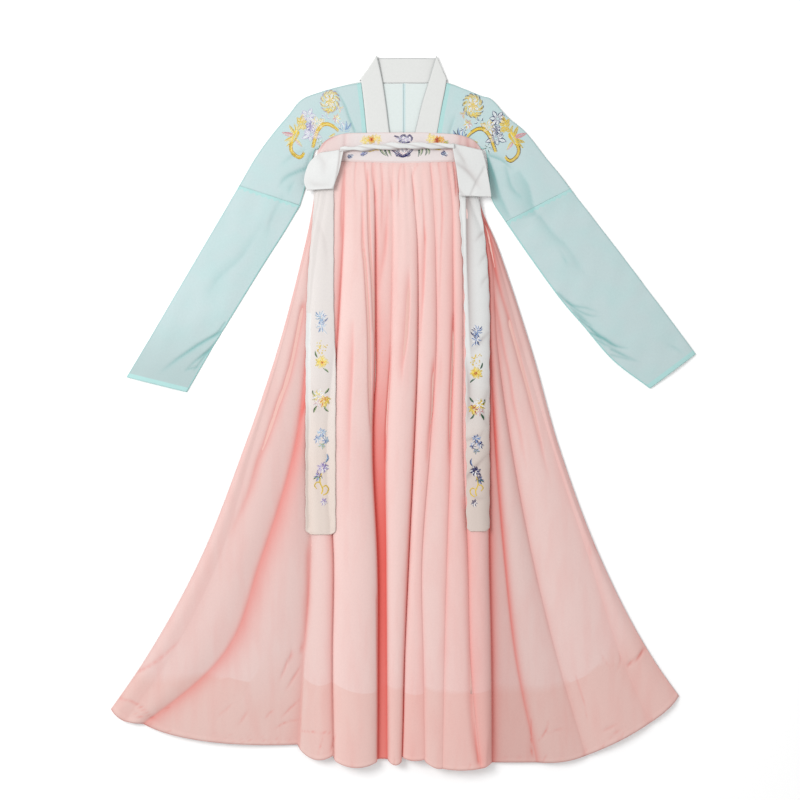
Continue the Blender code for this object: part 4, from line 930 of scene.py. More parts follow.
def plain_cloth(name, shade, roughness=0.7, sheen=0.1, alpha=1.0, cloud=None, **layers):
    """A woven cloth of one colour, and of others where its layers say: painted shade in creases, seams, low
    ends.
    """
    material, tree, shader = new_material(name, roughness, sheen, alpha)
    base = shade
    if cloud is not None:
        noise = noise_at(tree, own_place(tree), CLOUD_SIZE)
        base = mixed(tree, step_at(tree, noise, 0.4, 0.75, 0.0, 0.3), base, cloud)
    for key, other in layers.items():
        layer = layer_of(tree, key)
        if key == "doubled":
            layer = step_at(tree, layer, -0.6, 0.6)
        base = mixed(tree, layer, base, other)
    weave_on(tree, shader, base)
    return material


def band_satin():
    """Polyester satin over a stiffener: a soft sheen, pinker at the band's ends and edges, and with
    painted shade in its creases."""
    colours = bpy.context.scene.hanfu_colours
    material, tree, shader = new_material("polyester_satin_band", 0.5, 0.1, specular=0.4)
    base = mixed(tree, layer_of(tree, "ends"), colours.band, colours.band_edge)
    piping = step_at(tree, layer_of(tree, "piping"), -0.4, 0.4, 0.0, 0.7)
    base = mixed(tree, piping, base, colours.band_edge)
    weave_on(tree, shader, mixed(tree, layer_of(tree, "tint"), base, colours.band_crease_shade))
    return material


def stitched_thread():
    """Rayon satin stitch: smooth shiny thread, each stitch of its own colour, a little uneven."""
    material, tree, shader = new_material("rayon_satin_stitch", 0.42, 0.03, specular=0.28)
    dye = add_node(tree, "ShaderNodeAttribute", {"attribute_name": "thread"}).outputs["Color"]
    fibre = noise_at(tree, own_place(tree), FIBRE_SIZE)
    uneven = step_at(tree, fibre, 0.3, 0.7, 0.82, 1.0)
    tree.links.new(mixed(tree, 1.0, dye, uneven, "MULTIPLY"), shader.inputs["Base Color"])
    bump = add_node(tree, "ShaderNodeBump", {"Strength": 0.4, "Distance": 0.1 * MM},
                    {"Height": fibre})
    tree.links.new(bump.outputs[0], shader.inputs["Normal"])
    return material


# ---------------------------------------------------------------- embroidery
# Colours of thread.
THREADS = {
    "gold": "#e9ca4c", "yellow": "#f7e070", "straw": "#f8e8a4", "orange": "#eda544",
    "rust": "#b9592f", "red": "#b83a2e", "rose": "#e6aeb2", "pale rose": "#eed0d0",
    "lilac": "#c9bfdf", "violet": "#917cc4", "indigo": "#130e62", "blue": "#7d9ccd",
    "sky": "#b6d2e8", "white": "#f3f3f5", "green": "#1f5f40", "leaf": "#a5bd80",
    "brown": "#7a5526", "amber": "#d9ae3c",
}
# On the wearer's left side, further from the light, the same motifs take deeper threads: painted shade.
SHADED_THREADS = {"lilac": "indigo", "violet": "indigo", "sky": "blue", "blue": "indigo", "leaf": "green",
          "pale rose": "rose", "orange": "rust", "straw": "gold", "amber": "brown"}
# The shoulders' motifs: middle of the ring, turn and scale.
SHOULDER_PLACES = {"right": ((-140.6, 592.0), 0.0, 1.0), "left": ((131.0, 584.0), 0.1, 1.05)}
# The streamers' motif: its place, scale and side, and how wavy the streamer's edges are.
STREAMER_PLACES = {"right": ((-155.8, 0.0), 1.0, 1, 0.35), "left": ((136.8, -14.0), 0.93, -1, 0.8)}
# What is sewn, in millimetres from a motif's own middle, across and along.
Flower = namedtuple("Flower", "place radius petals turn inner outer eye")
Leaf = namedtuple("Leaf", "path width first second")
Stem = namedtuple("Stem", "path width thread")
Dots = namedtuple("Dots", "place reach count thread")


def ring_of(place, reach, count, width, lean, first, second):
    """Petals set end to end round an oval, each leaning outwards."""
    petals = []
    for number in range(count):
        out = direction(2 * math.pi * number / count)
        way = aside(out) * math.cos(lean) + out * math.sin(lean)
        start, long = place + out * reach, 8.0 * sum(reach) / 2 / count
        petals.append(Leaf((start, start + way * long / 2 + out * long * 0.15, start + way * long),
                           width, first, second))
    return tuple(petals)


def bunch_of(place, reach, count, long, width, *threads):
    """Small petals that fill an oval, each pointing outwards, in threads that take turns."""
    petals = []
    for number in range(count):
        out, far = direction(GOLDEN_TURN * number), 0.8 * math.sqrt((number + 0.5) / count)
        start, petal = place + out * reach * far, out * long * (0.8 + 0.1 * (7 * number % 5))
        petals.append(Leaf((start, start + petal / 2 + aside(out) * long * 0.12, start + petal),
                           width, threads[number % len(threads)],
                           threads[(number + 1) % len(threads)]))
    return tuple(petals)


def petals_of(place, reach, count, width, fill, edge, turn=0.3):
    """Broad petals round an oval heart, each filled with one thread and edged with another."""
    petals = []
    for number in range(count):
        out = direction(2 * math.pi * (number + turn) / count)
        side = aside(out) * width / 2
        long, lean = 0.8 + 0.09 * (7 * number % 5), side * (0.5 - 0.5 * (3 * number % 4))
        start, end = place + out * reach * 0.2, place + out * reach * long + lean
        middle = (start + end) / 2
        petals.append(Leaf((start, middle, end), width * 0.8, fill, fill))
        petals += [Stem((start, middle + side * way, end), PETAL_EDGE, edge) for way in (-1, 1)]
    return tuple(petals)


SHOULDER_MOTIF = (
    # a round bud of many petals
    *ring_of((0, 0), (14.5, 18), 14, 2.4, 0.3, "lilac", "violet"),
    *ring_of((0, 0), (12, 15.5), 10, 6, 0.15, "gold", "straw"),
    *petals_of((0, 1), (13, 16), 7, 7, "white", "gold"),
    *petals_of((0, 0), (7, 8), 5, 4, "straw", "gold", 0.6),
    *bunch_of((2, -17), (6, 3), 7, 5, 5.2, "gold", "yellow"),
    # a full pale bloom with a violet and a yellow heart
    *petals_of((42, -28), (17, 14), 7, 7, "white", "lilac"),
    *petals_of((25, -42), (15, 14), 6, 7, "white", "straw", 0.6),
    *petals_of((35, -63), (19, 13), 8, 7, "white", "lilac"),
    *petals_of((54, -42), (11, 16), 7, 6, "straw", "gold", 0.1),
    *petals_of((37, -48), (11, 10), 7, 5, "white", "violet"),
    *bunch_of((37, -48), (3, 3), 5, 5, 4, "violet", "lilac"),
    *bunch_of((52, -37), (4, 4), 6, 5, 5.2, "gold", "yellow"),
    # a lily on a curled stalk
    Leaf(((67, -62), (72, -54), (77, -45)), 7, "straw", "gold"),
    Leaf(((64, -58), (64, -50), (68, -43)), 6, "gold", "straw"),
    Leaf(((70, -64), (80, -62), (91, -59)), 9, "pale rose", "rose"),
    Leaf(((71, -68), (78, -72), (86, -75)), 7, "straw", "gold"),
    Leaf(((70, -72), (76, -78), (82, -85)), 5, "gold", "straw"),
    Leaf(((64, -73), (59, -79), (53, -86)), 7, "straw", "pale rose"),
    Leaf(((61, -56), (66, -66), (71, -80)), 13, "gold", "yellow"),
    Stem(((72, -78), (74, -86), (72, -95), (66, -102), (58, -106), (52, -103), (48, -97)), 5,
         "gold"),
    Stem(((71, -80), (73, -92), (65, -101), (56, -105)), 1.8, "straw"),
    Stem(((69.6, -78), (71.5, -86), (69.7, -94), (64.5, -100), (58.2, -103), (53.8, -101), (50, -95)), 1.4,
         "amber"),
    Stem(((75, -79), (77, -86), (75, -96), (67.5, -104.5), (58, -109), (50, -105)), 1.3, "amber"),
    # a broad gold scroll
    Stem(((32, -86), (29, -74), (26, -62), (21, -52), (13, -44), (3, -43), (-8, -48), (-17, -55)),
         5.4, "gold"),
    Stem(((30, -82), (27, -68), (21, -54), (12, -45), (2, -43), (-8, -49)), 1.8, "straw"),
    Stem(((29.3, -86), (26.3, -74), (23.5, -63), (19, -54), (12, -46.8), (3, -46), (-7, -50.8), (-16, -58)),
         1.4, "amber"),
    Stem(((35, -86), (32, -74), (29, -61), (23, -49.5), (14, -41), (3, -40), (-9, -45)), 1.3, "amber"),
    *bunch_of((15, -37), (4, 3), 4, 4.25, 4.4, "gold", "straw"),
    # small flowers and leaves
    *bunch_of((-12, -32), (5, 5), 8, 5.95, 5.2, "rose", "straw", "white"),
    *bunch_of((-20, -14), (3, 3), 4, 5.1, 4.8, "pale rose", "straw"),
    *bunch_of((-20, -42), (5, 4), 5, 5.1, 3.6, "lilac", "white"),
    *bunch_of((10, -30), (9, 6), 7, 5.1, 3.6, "white", "lilac"),
    *bunch_of((20, -78), (5, 9), 6, 5.1, 3.6, "leaf", "white"),
    Leaf(((-9, -61), (-4, -65), (2, -67)), 5, "straw", "gold"),
    Leaf(((-26, -54), (-25, -47), (-22, -40)), 5, "sky", "white"),
    Leaf(((-29, -54), (-31, -46), (-31, -37)), 5, "sky", "blue"),
    Leaf(((-32, -54), (-37, -48), (-40, -41)), 5, "blue", "sky"),
    Leaf(((-24, -56), (-19, -52), (-16, -49)), 3, "sky", "blue"),
    Stem(((-28, -57), (-33, -57), (-38, -54)), 1.6, "sky"),
)
BAND_MOTIF = (
    # two yellow flowers
    *bunch_of((-73, 518), (5, 3.5), 8, 7, 6.5, "yellow", "straw"),
    *bunch_of((-50, 520.5), (4.5, 4), 7, 7, 6.5, "straw", "yellow"),
    Flower((-61.5, 519.5), 10, 6, 0.2, "orange", "gold", "red"),
    *bunch_of((-61, 518), (1.5, 1.5), 4, 4, 4.7, "red", "orange"),
    *bunch_of((52, 521), (5, 5), 9, 7.5, 6.5, "straw", "yellow"),
    *bunch_of((71, 519), (4, 3), 7, 6, 6.5, "gold", "orange"),
    Flower((63, 518.5), 10, 6, 0.6, "rust", "orange", "red"),
    *bunch_of((62, 517.5), (1.5, 1.5), 4, 4, 4.7, "red", "rust"),
    *bunch_of((80, 513.5), (2, 1.5), 5, 5, 5.3, "gold", "leaf"),
    # a dark blue scroll on white in the middle
    *bunch_of((1, 520), (13, 4), 18, 6, 6, "white", "white", "lilac"),
    Stem(((-17, 526), (-10, 523), (-6, 517), (-5, 525), (1, 527), (6, 524), (11, 527), (15, 522),
          (13, 516)), 4.4, "indigo"),
    Stem(((-9, 516), (-2, 514.5), (5, 514), (12, 515)), 3.6, "indigo"),
    Leaf(((-2, 520), (3, 522), (8, 520)), 3, "violet", "lilac"),
    *bunch_of((-4, 496), (17, 4.5), 24, 5, 5, "white", "white", "pale rose"),
    Stem(((-27, 505), (-20, 499), (-13, 494), (-7, 490.5), (-1, 488.5), (5, 491), (11, 495.5),
          (18, 503)), 6, "indigo"),
    *ring_of((-3, 494), (10, 3.5), 9, 5, 0.5, "indigo", "indigo"),
    Leaf(((-15, 492), (-12, 489), (-8, 487)), 5, "indigo", "indigo"),
    Leaf(((11, 492), (9, 489), (5, 487)), 5, "indigo", "indigo"),
    # leaves under the tie
    Leaf(((-46, 502), (-41, 495), (-34, 489)), 4.4, "green", "leaf"),
    Leaf(((-37, 504), (-35, 496), (-30, 487)), 4, "green", "green"),
    Leaf(((-30, 503), (-28, 496), (-24, 488)), 4.2, "leaf", "green"),
    Leaf(((27, 504), (29, 496), (27, 487)), 4, "green", "green"),
    Leaf(((35, 503), (34, 496), (31, 489)), 4, "leaf", "green"),
    Leaf(((40, 505), (43, 497), (40, 489)), 4, "green", "green"),
    Leaf(((44, 504), (48, 498), (47, 491)), 4.2, "leaf", "green"),
    Stem(((-80, 498.5), (-72, 500), (-64, 497), (-54, 500), (-48, 499)), 1.6, "gold"),
    Stem(((46, 503), (54, 503), (62, 501), (70, 500)), 2.2, "gold"),
    # dark little flowers at both sides
    *bunch_of((-101.5, 488.5), (5, 3), 9, 3.6, 3.7, "white", "white", "sky"),
    Leaf(((-106, 486), (-102, 488), (-97, 491)), 7.5, "indigo", "indigo"),
    Leaf(((-105, 491), (-101, 488), (-99, 484.5)), 4.4, "indigo", "indigo"),
    *bunch_of((-76, 493), (5, 3), 9, 3.6, 3.4, "white", "sky", "blue"),
    Leaf(((-82, 490.5), (-75, 492.5), (-69, 494)), 6, "indigo", "violet"),
    Leaf(((-76, 499), (-75, 495), (-74, 491)), 4, "indigo", "violet"),
    *bunch_of((77, 492), (5.5, 3.5), 10, 3.6, 3.7, "white", "sky", "white"),
    Leaf(((71, 494), (76, 492), (83, 489)), 7.5, "indigo", "indigo"),
    Leaf(((75, 498), (77, 493), (80, 487)), 5.2, "indigo", "indigo"),
)
STREAMER_MOTIF = (
    # a blue spray
    Stem(((-3, 190), (-1, 172), (2, 154)), 1.4, "sky"),
    *bunch_of((0, 182), (6, 7), 12, 8, 4.4, "sky", "white", "sky", "blue", "white"),
    *bunch_of((0, 165), (6, 6), 10, 7, 4.4, "sky", "white", "white", "blue"),
    Leaf(((-2, 182), (-8, 187), (-11, 192)), 3, "blue", "sky"),
    Leaf(((2, 172), (8, 176), (12, 181)), 3, "blue", "indigo"),
    Leaf(((3, 158), (7, 154), (10, 150)), 3, "white", "sky"),
    # a yellow flower with dots above it
    Dots((1, 122), 12, 16, "gold"), Dots((-2, 132), 10, 9, "straw"),
    *bunch_of((1, 98), (7, 7), 14, 8, 6.2, "yellow", "straw"),
    Flower((2, 96), 8, 6, 0.3, "orange", "gold", "rust"),
    Leaf(((-8, 106), (-11, 112), (-12, 118)), 3.4, "leaf", "green"),
    Leaf(((3, 86), (9, 82), (13, 78)), 3.4, "green", "leaf"),
    # a white and orange bouquet
    *bunch_of((-5, 34), (7, 7), 14, 8, 6.2, "white", "straw", "white"),
    *bunch_of((6, 24), (6, 6), 10, 8, 6.2, "gold", "orange", "yellow"),
    *bunch_of((-7, 19), (4, 4), 7, 6, 5, "pale rose", "white"),
    Leaf(((6, 38), (11, 43), (14, 48)), 4, "green", "leaf"),
    Leaf(((-9, 14), (-13, 8), (-15, 2)), 4, "green", "leaf"),
    Leaf(((5, 14), (8, 8), (13, 4)), 4, "green", "leaf"),
    Leaf(((-12, 33), (-16, 38), (-17, 44)), 3.6, "leaf", "green"),
    # light blue clusters
    *bunch_of((1, -36), (5, 5), 10, 6, 5.2, "sky", "white", "sky", "blue"),
    *bunch_of((-7, -48), (4, 4), 8, 5, 5.2, "sky", "blue", "white"),
    *bunch_of((8, -49), (4, 4), 8, 5, 4.7, "sky", "white", "blue"),
    *bunch_of((1, -60), (3, 3), 6, 5, 4, "sky", "leaf"),
    # a purple flower on a gold stalk
    *bunch_of((3, -102), (7, 6), 14, 7, 5, "violet", "lilac", "white"),
    *bunch_of((-5, -118), (5, 5), 8, 6, 4, "indigo", "violet", "sky"),
    Leaf(((8, -92), (12, -84), (10, -76)), 4, "blue", "sky"),
    Stem(((0, -114), (-3, -128), (2, -142), (0, -152)), 2.8, "gold"),
    Stem(((-2, -130), (-9, -130), (-13, -136), (-9, -142)), 2, "gold"),
    Stem(((1, -140), (8, -136), (13, -142), (10, -150), (3, -154)), 2.2, "gold"),
    Leaf(((-2, -122), (-9, -120), (-15, -124)), 3.6, "green", "leaf"),
    *bunch_of((5, -166), (4, 4), 8, 5, 4, "lilac", "violet", "white"),
)


class Needle:
    """Gathers stitches: their two ends, width and thread."""
    def __init__(self, place, turn=0.0, scale=1.0, mirror=1, seed=1, deep=False):
        self.deep = deep
        self.place, self.turn, self.scale, self.mirror = np.array(place), turn, scale, mirror
        self.picked = np.random.default_rng(seed)
        self.ends, self.widths, self.threads = [], [], []

    def at(self, points):
        """Points of a motif's own, moved to where it lies on the garment."""
        points = np.asarray(points, float) * [self.mirror * self.scale, self.scale]
        cos, sin = math.cos(self.turn), math.sin(self.turn)
        return points @ np.array([[cos, sin], [-sin, cos]]) + self.place

    def stitch(self, start, end, thread, width=STITCH_WIDTH):
        """One stitch of a thread, a little uneven in width and colour."""
        self.ends.append(self.at([start, end]))
        self.widths.append(width * self.picked.uniform(0.85, 1.15))
        thread = SHADED_THREADS.get(thread, thread) if self.deep else thread
        self.threads.append(np.array(linear(THREADS[thread])) * self.picked.uniform(0.85, 1.1))

    def satin(self, path, width, first, second, slant=0.5, blunt=0.6):
        """Slanted stitches from side to side of a shape along a path, two threads in turns."""
        path = np.asarray(path, float)
        length = np.linalg.norm(np.diff(path, axis=0), axis=1).sum()
        count = max(4, int(length / STITCH_STEP))
        line = smooth_rows(path, np.linspace(0, len(path) - 1, count))
        way = np.gradient(line, axis=0)
        way /= np.linalg.norm(way, axis=1)[:, None]
        side = np.stack((-way[:, 1], way[:, 0]), -1)
        for step in range(count):
            half = width / 2 * max(0.12, math.sin(math.pi * (step + 0.5) / count)) ** blunt
            half *= self.picked.uniform(0.88, 1.1)
            lean = way[step] * half * slant
            self.stitch(line[step] - side[step] * half - lean, line[step], first)
            self.stitch(line[step], line[step] + side[step] * half - lean, second)

    def sew(self, item):
        """Sew one part of a motif in the way of its kind."""
        if isinstance(item, Leaf):
            self.satin(item.path, item.width, item.first, item.second, 0.7)
        elif isinstance(item, Stem):
            self.satin(item.path, item.width, item.thread, item.thread, 1.4, 0.15)
        elif isinstance(item, Dots):
            for _ in range(item.count):
                angle, far = self.picked.uniform(0, 2 * math.pi), self.picked.uniform(0.2, 1)
                spot = np.array(item.place) + item.reach * far * direction(angle)
                for shift in (-0.7, 0, 0.7):
                    self.stitch(spot + [-1.3, shift], spot + [1.3, shift], item.thread)
        else:
            self.flower(item)

    def flower(self, item):
        """Petals of stitches that run outwards, shaded from one thread to the other, and an eye."""
        middle = np.array(item.place, float)
        for number in range(item.petals):
            centre = 2 * math.pi * (number + item.turn) / item.petals
            spread = math.pi / item.petals * 0.92
            count = max(5, int(2 * spread * item.radius * 0.7 / STITCH_STEP))
            longest = item.radius * self.picked.uniform(0.88, 1.08)
            for step in range(count):
                share = 2 * (step + 0.5) / count - 1
                angle = centre + spread * share
                out = direction(angle)
                tip = longest * (1 - 0.45 * abs(share) ** 2.2)
                mid = tip * self.picked.uniform(0.5, 0.68)
                self.stitch(middle + out * item.radius * 0.2, middle + out * mid, item.inner)
                self.stitch(middle + out * mid * 0.92, middle + out * tip, item.outer)
        for step in range(6 + int(item.radius)):
            out = direction(GOLDEN_TURN * step) * item.radius * 0.24
            self.stitch(middle - out * 0.3, middle + out, item.eye, STITCH_WIDTH * 1.1)


def sew_on(name, needle, material, cloth, slot):
    """One mesh of every stitch of a needle, each a thin spindle that lies on its cloth."""
    spots = cloth.reshape(-1, 3)
    tree = KDTree(len(spots))
    for number, spot in enumerate(spots):
        tree.insert((spot[0], spot[1], 0), number)
    tree.balance()
    corners, faces = [], []
    for ends, width in zip(needle.ends, needle.widths):
        long = ends[1] - ends[0]
        side = aside(long) / max(np.linalg.norm(long), 0.1) * width / 2
        level = [max(spots[near[1]][2] for near in tree.find_n((*end, 0), 3)) for end in ends]
        first = len(corners)
        for share, broad in ((0, False), (0.18, True), (0.82, True), (1, False)):
            spot = ends[0] + long * share
            height = level[0] + (level[1] - level[0]) * share - STITCH_SINK
            if broad:
                corners += [(*(spot - side), height), (*spot, height + STITCH_RISE),
                            (*(spot + side), height)]
            else:
                corners.append((*spot, height))
        ring, last = (first + 1, first + 2, first + 3), (first + 4, first + 5, first + 6)
        for i, j in ((0, 1), (1, 2), (2, 0)):
            faces += [(first, ring[j], ring[i]), (ring[i], ring[j], last[j], last[i]),
                      (first + 7, last[i], last[j])]
    mesh = bpy.data.meshes.new(name)
    mesh.from_pydata((np.array(corners) * MM).tolist(), [], faces)
    dye = mesh.attributes.new("thread", "FLOAT_COLOR", "POINT")
    dyes = np.repeat([rgba(thread) for thread in needle.threads], 8, axis=0)
    dye.data.foreach_set("color", dyes.astype(np.float32).ravel())
    mesh.shade_smooth()
    mesh.materials.append(material)
    piece = add_object(name, mesh)
    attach(piece, "root")
    return piece


def needle_for(motif, place, **settings):
    """A needle that has sewn a motif at a place."""
    needle = Needle(place, **settings)
    for item in motif:
        needle.sew(item)
    return needle


# ---------------------------------------------------------------- pieces
def hem_puckers(hem):
    """Short creases that run up from the hem's points."""
    creases = []
    for across, rise, lean, tint in PUCKERS:
        along = np.interp(across, hem[:, 0], hem[:, 1])
        path = ((across, along + 1), (across - lean * 0.6, along + rise * 0.5),
                (across - lean, along + rise))
        creases.append(Crease(path, (1.0, 1.8), 0.9, (tint, tint, 0)))
    return tuple(creases)


def make_skirt():
    """The folded outer skirt, its lining and its back."""
    colours = bpy.context.scene.hanfu_colours
    points, tint, below, soft, from_hem, grey_shade = skirt_surface(SKIRT_ROWS)
    # Creases lower the cloth and add their painted shade to its colour.
    lowered, pressed = creased(points, SKIRT_CREASES + hem_puckers(points[-1]))
    points[..., 2] -= np.minimum(lowered, 0.5 * points[..., 2])
    lay_cloth("skirt_front", points, pink_chiffon(), "pink_chiffon", "gathered",
              "skirt_lining_cloth",
              layers={"tint": 1 - (1 - tint) * (1 - pressed), "below_lining": below,
                      "lining_softness": soft, "from_hem": from_hem, "grey_shade": grey_shade})
    inner = skirt_surface(np.linspace(0, 1, 60), 0.45, 1, len(FOLDS) - 2, to_lining=True)[0]
    normal = np.cross(np.gradient(inner, axis=0), np.gradient(inner, axis=1))
    normal /= np.linalg.norm(normal, axis=-1)[..., None]
    inner -= np.abs(normal[..., 2:]) * [0, 0, SKIRT_WALL + LINING_GAP]
    lay_cloth("skirt_lining", inner, plain_cloth("polyester_taffeta_lining", colours.lining, 0.6),
              "pink_lining", "gathered", "skirt_back_cloth")
    make_skirt_back(plain_cloth("polyester_chiffon_back", colours.pink_unlined))


def make_skirt_back(material):
    """The skirt's back, flat on the floor, a little inside the front's side edges."""
    share, way = np.linspace(0, 1, 60), np.linspace(0, 1, 50)[:, None]
    across = -500 + 960 * share     # a first guess at the hem, made exact by a few rounds
    for _ in range(4):
        hem = smooth(BACK_HEM_ACROSS, BACK_HEM_DROP, across) - HEM_TURN
        right, left = valley(0, hem) + BACK_INSET, valley(len(FOLDS), hem) - BACK_INSET
        across = right + (left - right) * share
    drop = hem * way
    right, left = valley(0, drop) + BACK_INSET, valley(len(FOLDS), drop) - BACK_INSET
    across = right + (left - right) * share
    points = np.stack((across, BAND_LINE - SEAM_GAP - drop, np.full_like(across, CLOTH)), -1)
    lay_cloth("skirt_back", points, material, "pink_chiffon", "laid", "floor")


def make_bands():
    """The skirt's band: its embroidered front and its flat back."""
    right, left = BAND_MIDDLE
    across = np.concatenate((np.linspace(BAND_ACROSS[0], right, 20, endpoint=False),
                             np.linspace(right, left, 120, endpoint=False),
                             np.linspace(left, BAND_ACROSS[-1], 14)))
    upper, lower, level = (smooth(BAND_ACROSS, line, across)
                           for line in (BAND_UPPER, BAND_LOWER, BAND_LEVEL))
    way = strip_shares(26, 0.08)[:, None]
    along = BAND_LINE + upper + (lower - upper) * way
    roll = BAND_ROLL * np.exp(-(np.minimum(way, 1 - way) * BAND_HEIGHT / 2.2) ** 2)
    points = np.stack((across + 0 * way, along, level - roll - BAND_PRESS), -1)
    points[..., 2] += waved(points, size=60, height=0.35, seed=5) * (1 - roll / BAND_ROLL)
    lowered, tint = creased(points, BAND_CREASES)
    points[..., 2] -= lowered
    ends = np.interp(across, *zip(*BAND_ENDS)) + 0 * way
    piping = np.maximum((way - 0.93) * BAND_HEIGHT, (0.03 - way) * BAND_HEIGHT) + 0 * across
    needle = needle_for(BAND_MOTIF, (0, 0), seed=11)
    lay_cloth("skirt_band_front", points, band_satin(), "band_satin", "laid", "collar_cloth",
              sewn=("band_embroidery", needle, stitched_thread()),
              layers={"ends": ends, "piping": piping, "tint": tint})
    flat = np.stack((across + 0 * way, BAND_LINE + upper * (1 - way), np.full(along.shape, CLOTH)), -1)
    shade = bpy.context.scene.hanfu_colours.band_edge
    lay_cloth("skirt_band_back", flat, plain_cloth("polyester_satin_back", shade, 0.6),
              "pink_chiffon", "laid", "floor")


def blouse_surface(ribs, lapel=None, side=1):
    """Points of one half of the blouse, how far each lies inside a seam allowance, the painted shade
    along its folded edges, and which points are cloth."""
    fine, yoke_rows, body_rows = 16, 50, 20
    place = np.linspace(0, len(ribs) - 1, (len(ribs) - 1) * fine + 1)
    top, yoke, bed = (smooth_rows([getattr(rib, key) for rib in ribs], place)
                      for key in ("top", "yoke", "bed"))
    crown = smooth(np.arange(len(ribs)), [rib.crown for rib in ribs], place)
    body = [rib.hem for rib in ribs if rib.hem is not None]
    last = (len(body) - 1) * fine
    hem = smooth(np.arange(len(body)), body, np.minimum(place, len(body) - 1))
    share = np.linspace(0, 1, yoke_rows)
    share = eased(share) * 0.5 + share * 0.5
    bottom = np.stack((hem, np.full_like(hem, BLOUSE_HEM)), -1)
    down = np.linspace(0, 1, body_rows + 1)[1:]
    flat = np.concatenate((blend(top, yoke, share).transpose(1, 0, 2),
                           blend(yoke, bottom, down).transpose(1, 0, 2)))
    shares = np.append(share, np.ones(body_rows))[:, None]
    level = bed[:, 0] + (bed[:, 1] - bed[:, 0]) * shares + CLOTH
    keep = np.ones(flat.shape[:2], bool)
    keep[yoke_rows:, last + 1:] = False
    length = np.linalg.norm(yoke - top, axis=1)[None, :]
    from_yoke, from_top = length * (1 - shares), length * shares
    beyond = np.arange(flat.shape[1])[None, :] > last
    if lapel is None:
        seam = np.maximum(CENTRE_SEAM - np.abs(flat[..., 0]), NO_SEAM)
    else:
        heights, edges = [row[0] for row in lapel], [row[1] for row in lapel]
        shift = smooth(heights, edges, flat[:, 0, 1]) + side * LAPEL_ROOM - flat[:, 0, 0]
        for column in range(3 * fine):
            flat[:, column, 0] += shift * (1 - column / (3 * fine)) ** 3
        level = level + CLOTH + SEAM_GAP + SLEEVE_CROWN * crown * np.sin(math.pi * shares) ** 0.8
        seam = SEAM_WIDTH - side * (flat[..., 0] - smooth(heights, edges, flat[..., 1]))
        seam = np.maximum(seam, np.where(beyond, UNDERARM_SEAM - from_yoke, NO_SEAM))
    away = np.where(beyond, np.minimum(from_yoke, from_top), from_top)
    parts = (np.concatenate((flat, level[..., None]), -1), seam, folded_edge_shade(away), keep)
    return parts if side > 0 else tuple(part[:, ::-1] for part in parts)


def make_blouse():
    """Both halves of the blouse, back and front with its embroidery, and the lower sleeves."""
    colours = bpy.context.scene.hanfu_colours
    mint = plain_cloth("polyester_chiffon_mint", colours.mint, 0.7, 0.12, 0.92,
                       cloud=colours.mint_seam, cuff=colours.mint_cuff, doubled=colours.mint_seam,
                       tint=colours.mint_deep)
    single = plain_cloth("polyester_chiffon_mint_single", colours.mint_single, 0.7, 0.1,
                         doubled=colours.mint)
    thread = stitched_thread()
    for name, side, middle, arm, lapel in (
            ("right", -1, MIDDLE_RIGHT, ARM_RIGHT, LAPEL_RIGHT),
            ("left", 1, MIDDLE_LEFT, ARM_LEFT, LAPEL_LEFT)):
        points, seam, _, keep = blouse_surface(middle + arm, side=side)
        lay_cloth("blouse_back_" + name, points, single, "mint_chiffon", "laid", "skirt_back_cloth",
                  keep, layers={"doubled": seam})
        neck = middle[-1]._replace(top=(middle[-1].top[0], NECK_POINT), hem=lapel[0][1])
        beside = Rib(*(tuple(np.array(a) + (np.array(b) - np.array(a)) * NECK_RIB_SHARE)
                       for a, b in ((neck.top, arm[0].top), (neck.yoke, arm[0].yoke))),
                     neck.hem + (arm[0].hem - neck.hem) * NECK_RIB_SHARE, neck.bed, 0.05)
        points, seam, edged, keep = blouse_surface((neck, beside) + arm, lapel, side)
        lowered, tint = creased(points, MINT_CREASES)
        points[..., 2] += np.clip(waved(points, LOOSE_SIZE, 0.5, 3 + side), -0.5, 0.5) - lowered
        place, turn, scale = SHOULDER_PLACES[name]
        needle = needle_for(SHOULDER_MOTIF, place, turn=turn, scale=scale, mirror=side,
                            seed=20 + side, deep=name == "left")
        lay_cloth("blouse_front_" + name, points, mint, "mint_chiffon", "laid",
                  "blouse_back_%s_cloth" % name, keep,
                  sewn=("shoulder_embroidery_" + name, needle, thread),
                  layers={"doubled": seam, "tint": np.maximum(tint, edged)})
    for name, sections in (("right", SLEEVE_RIGHT), ("left", SLEEVE_LEFT)):
        make_sleeve(name, sections, mint)


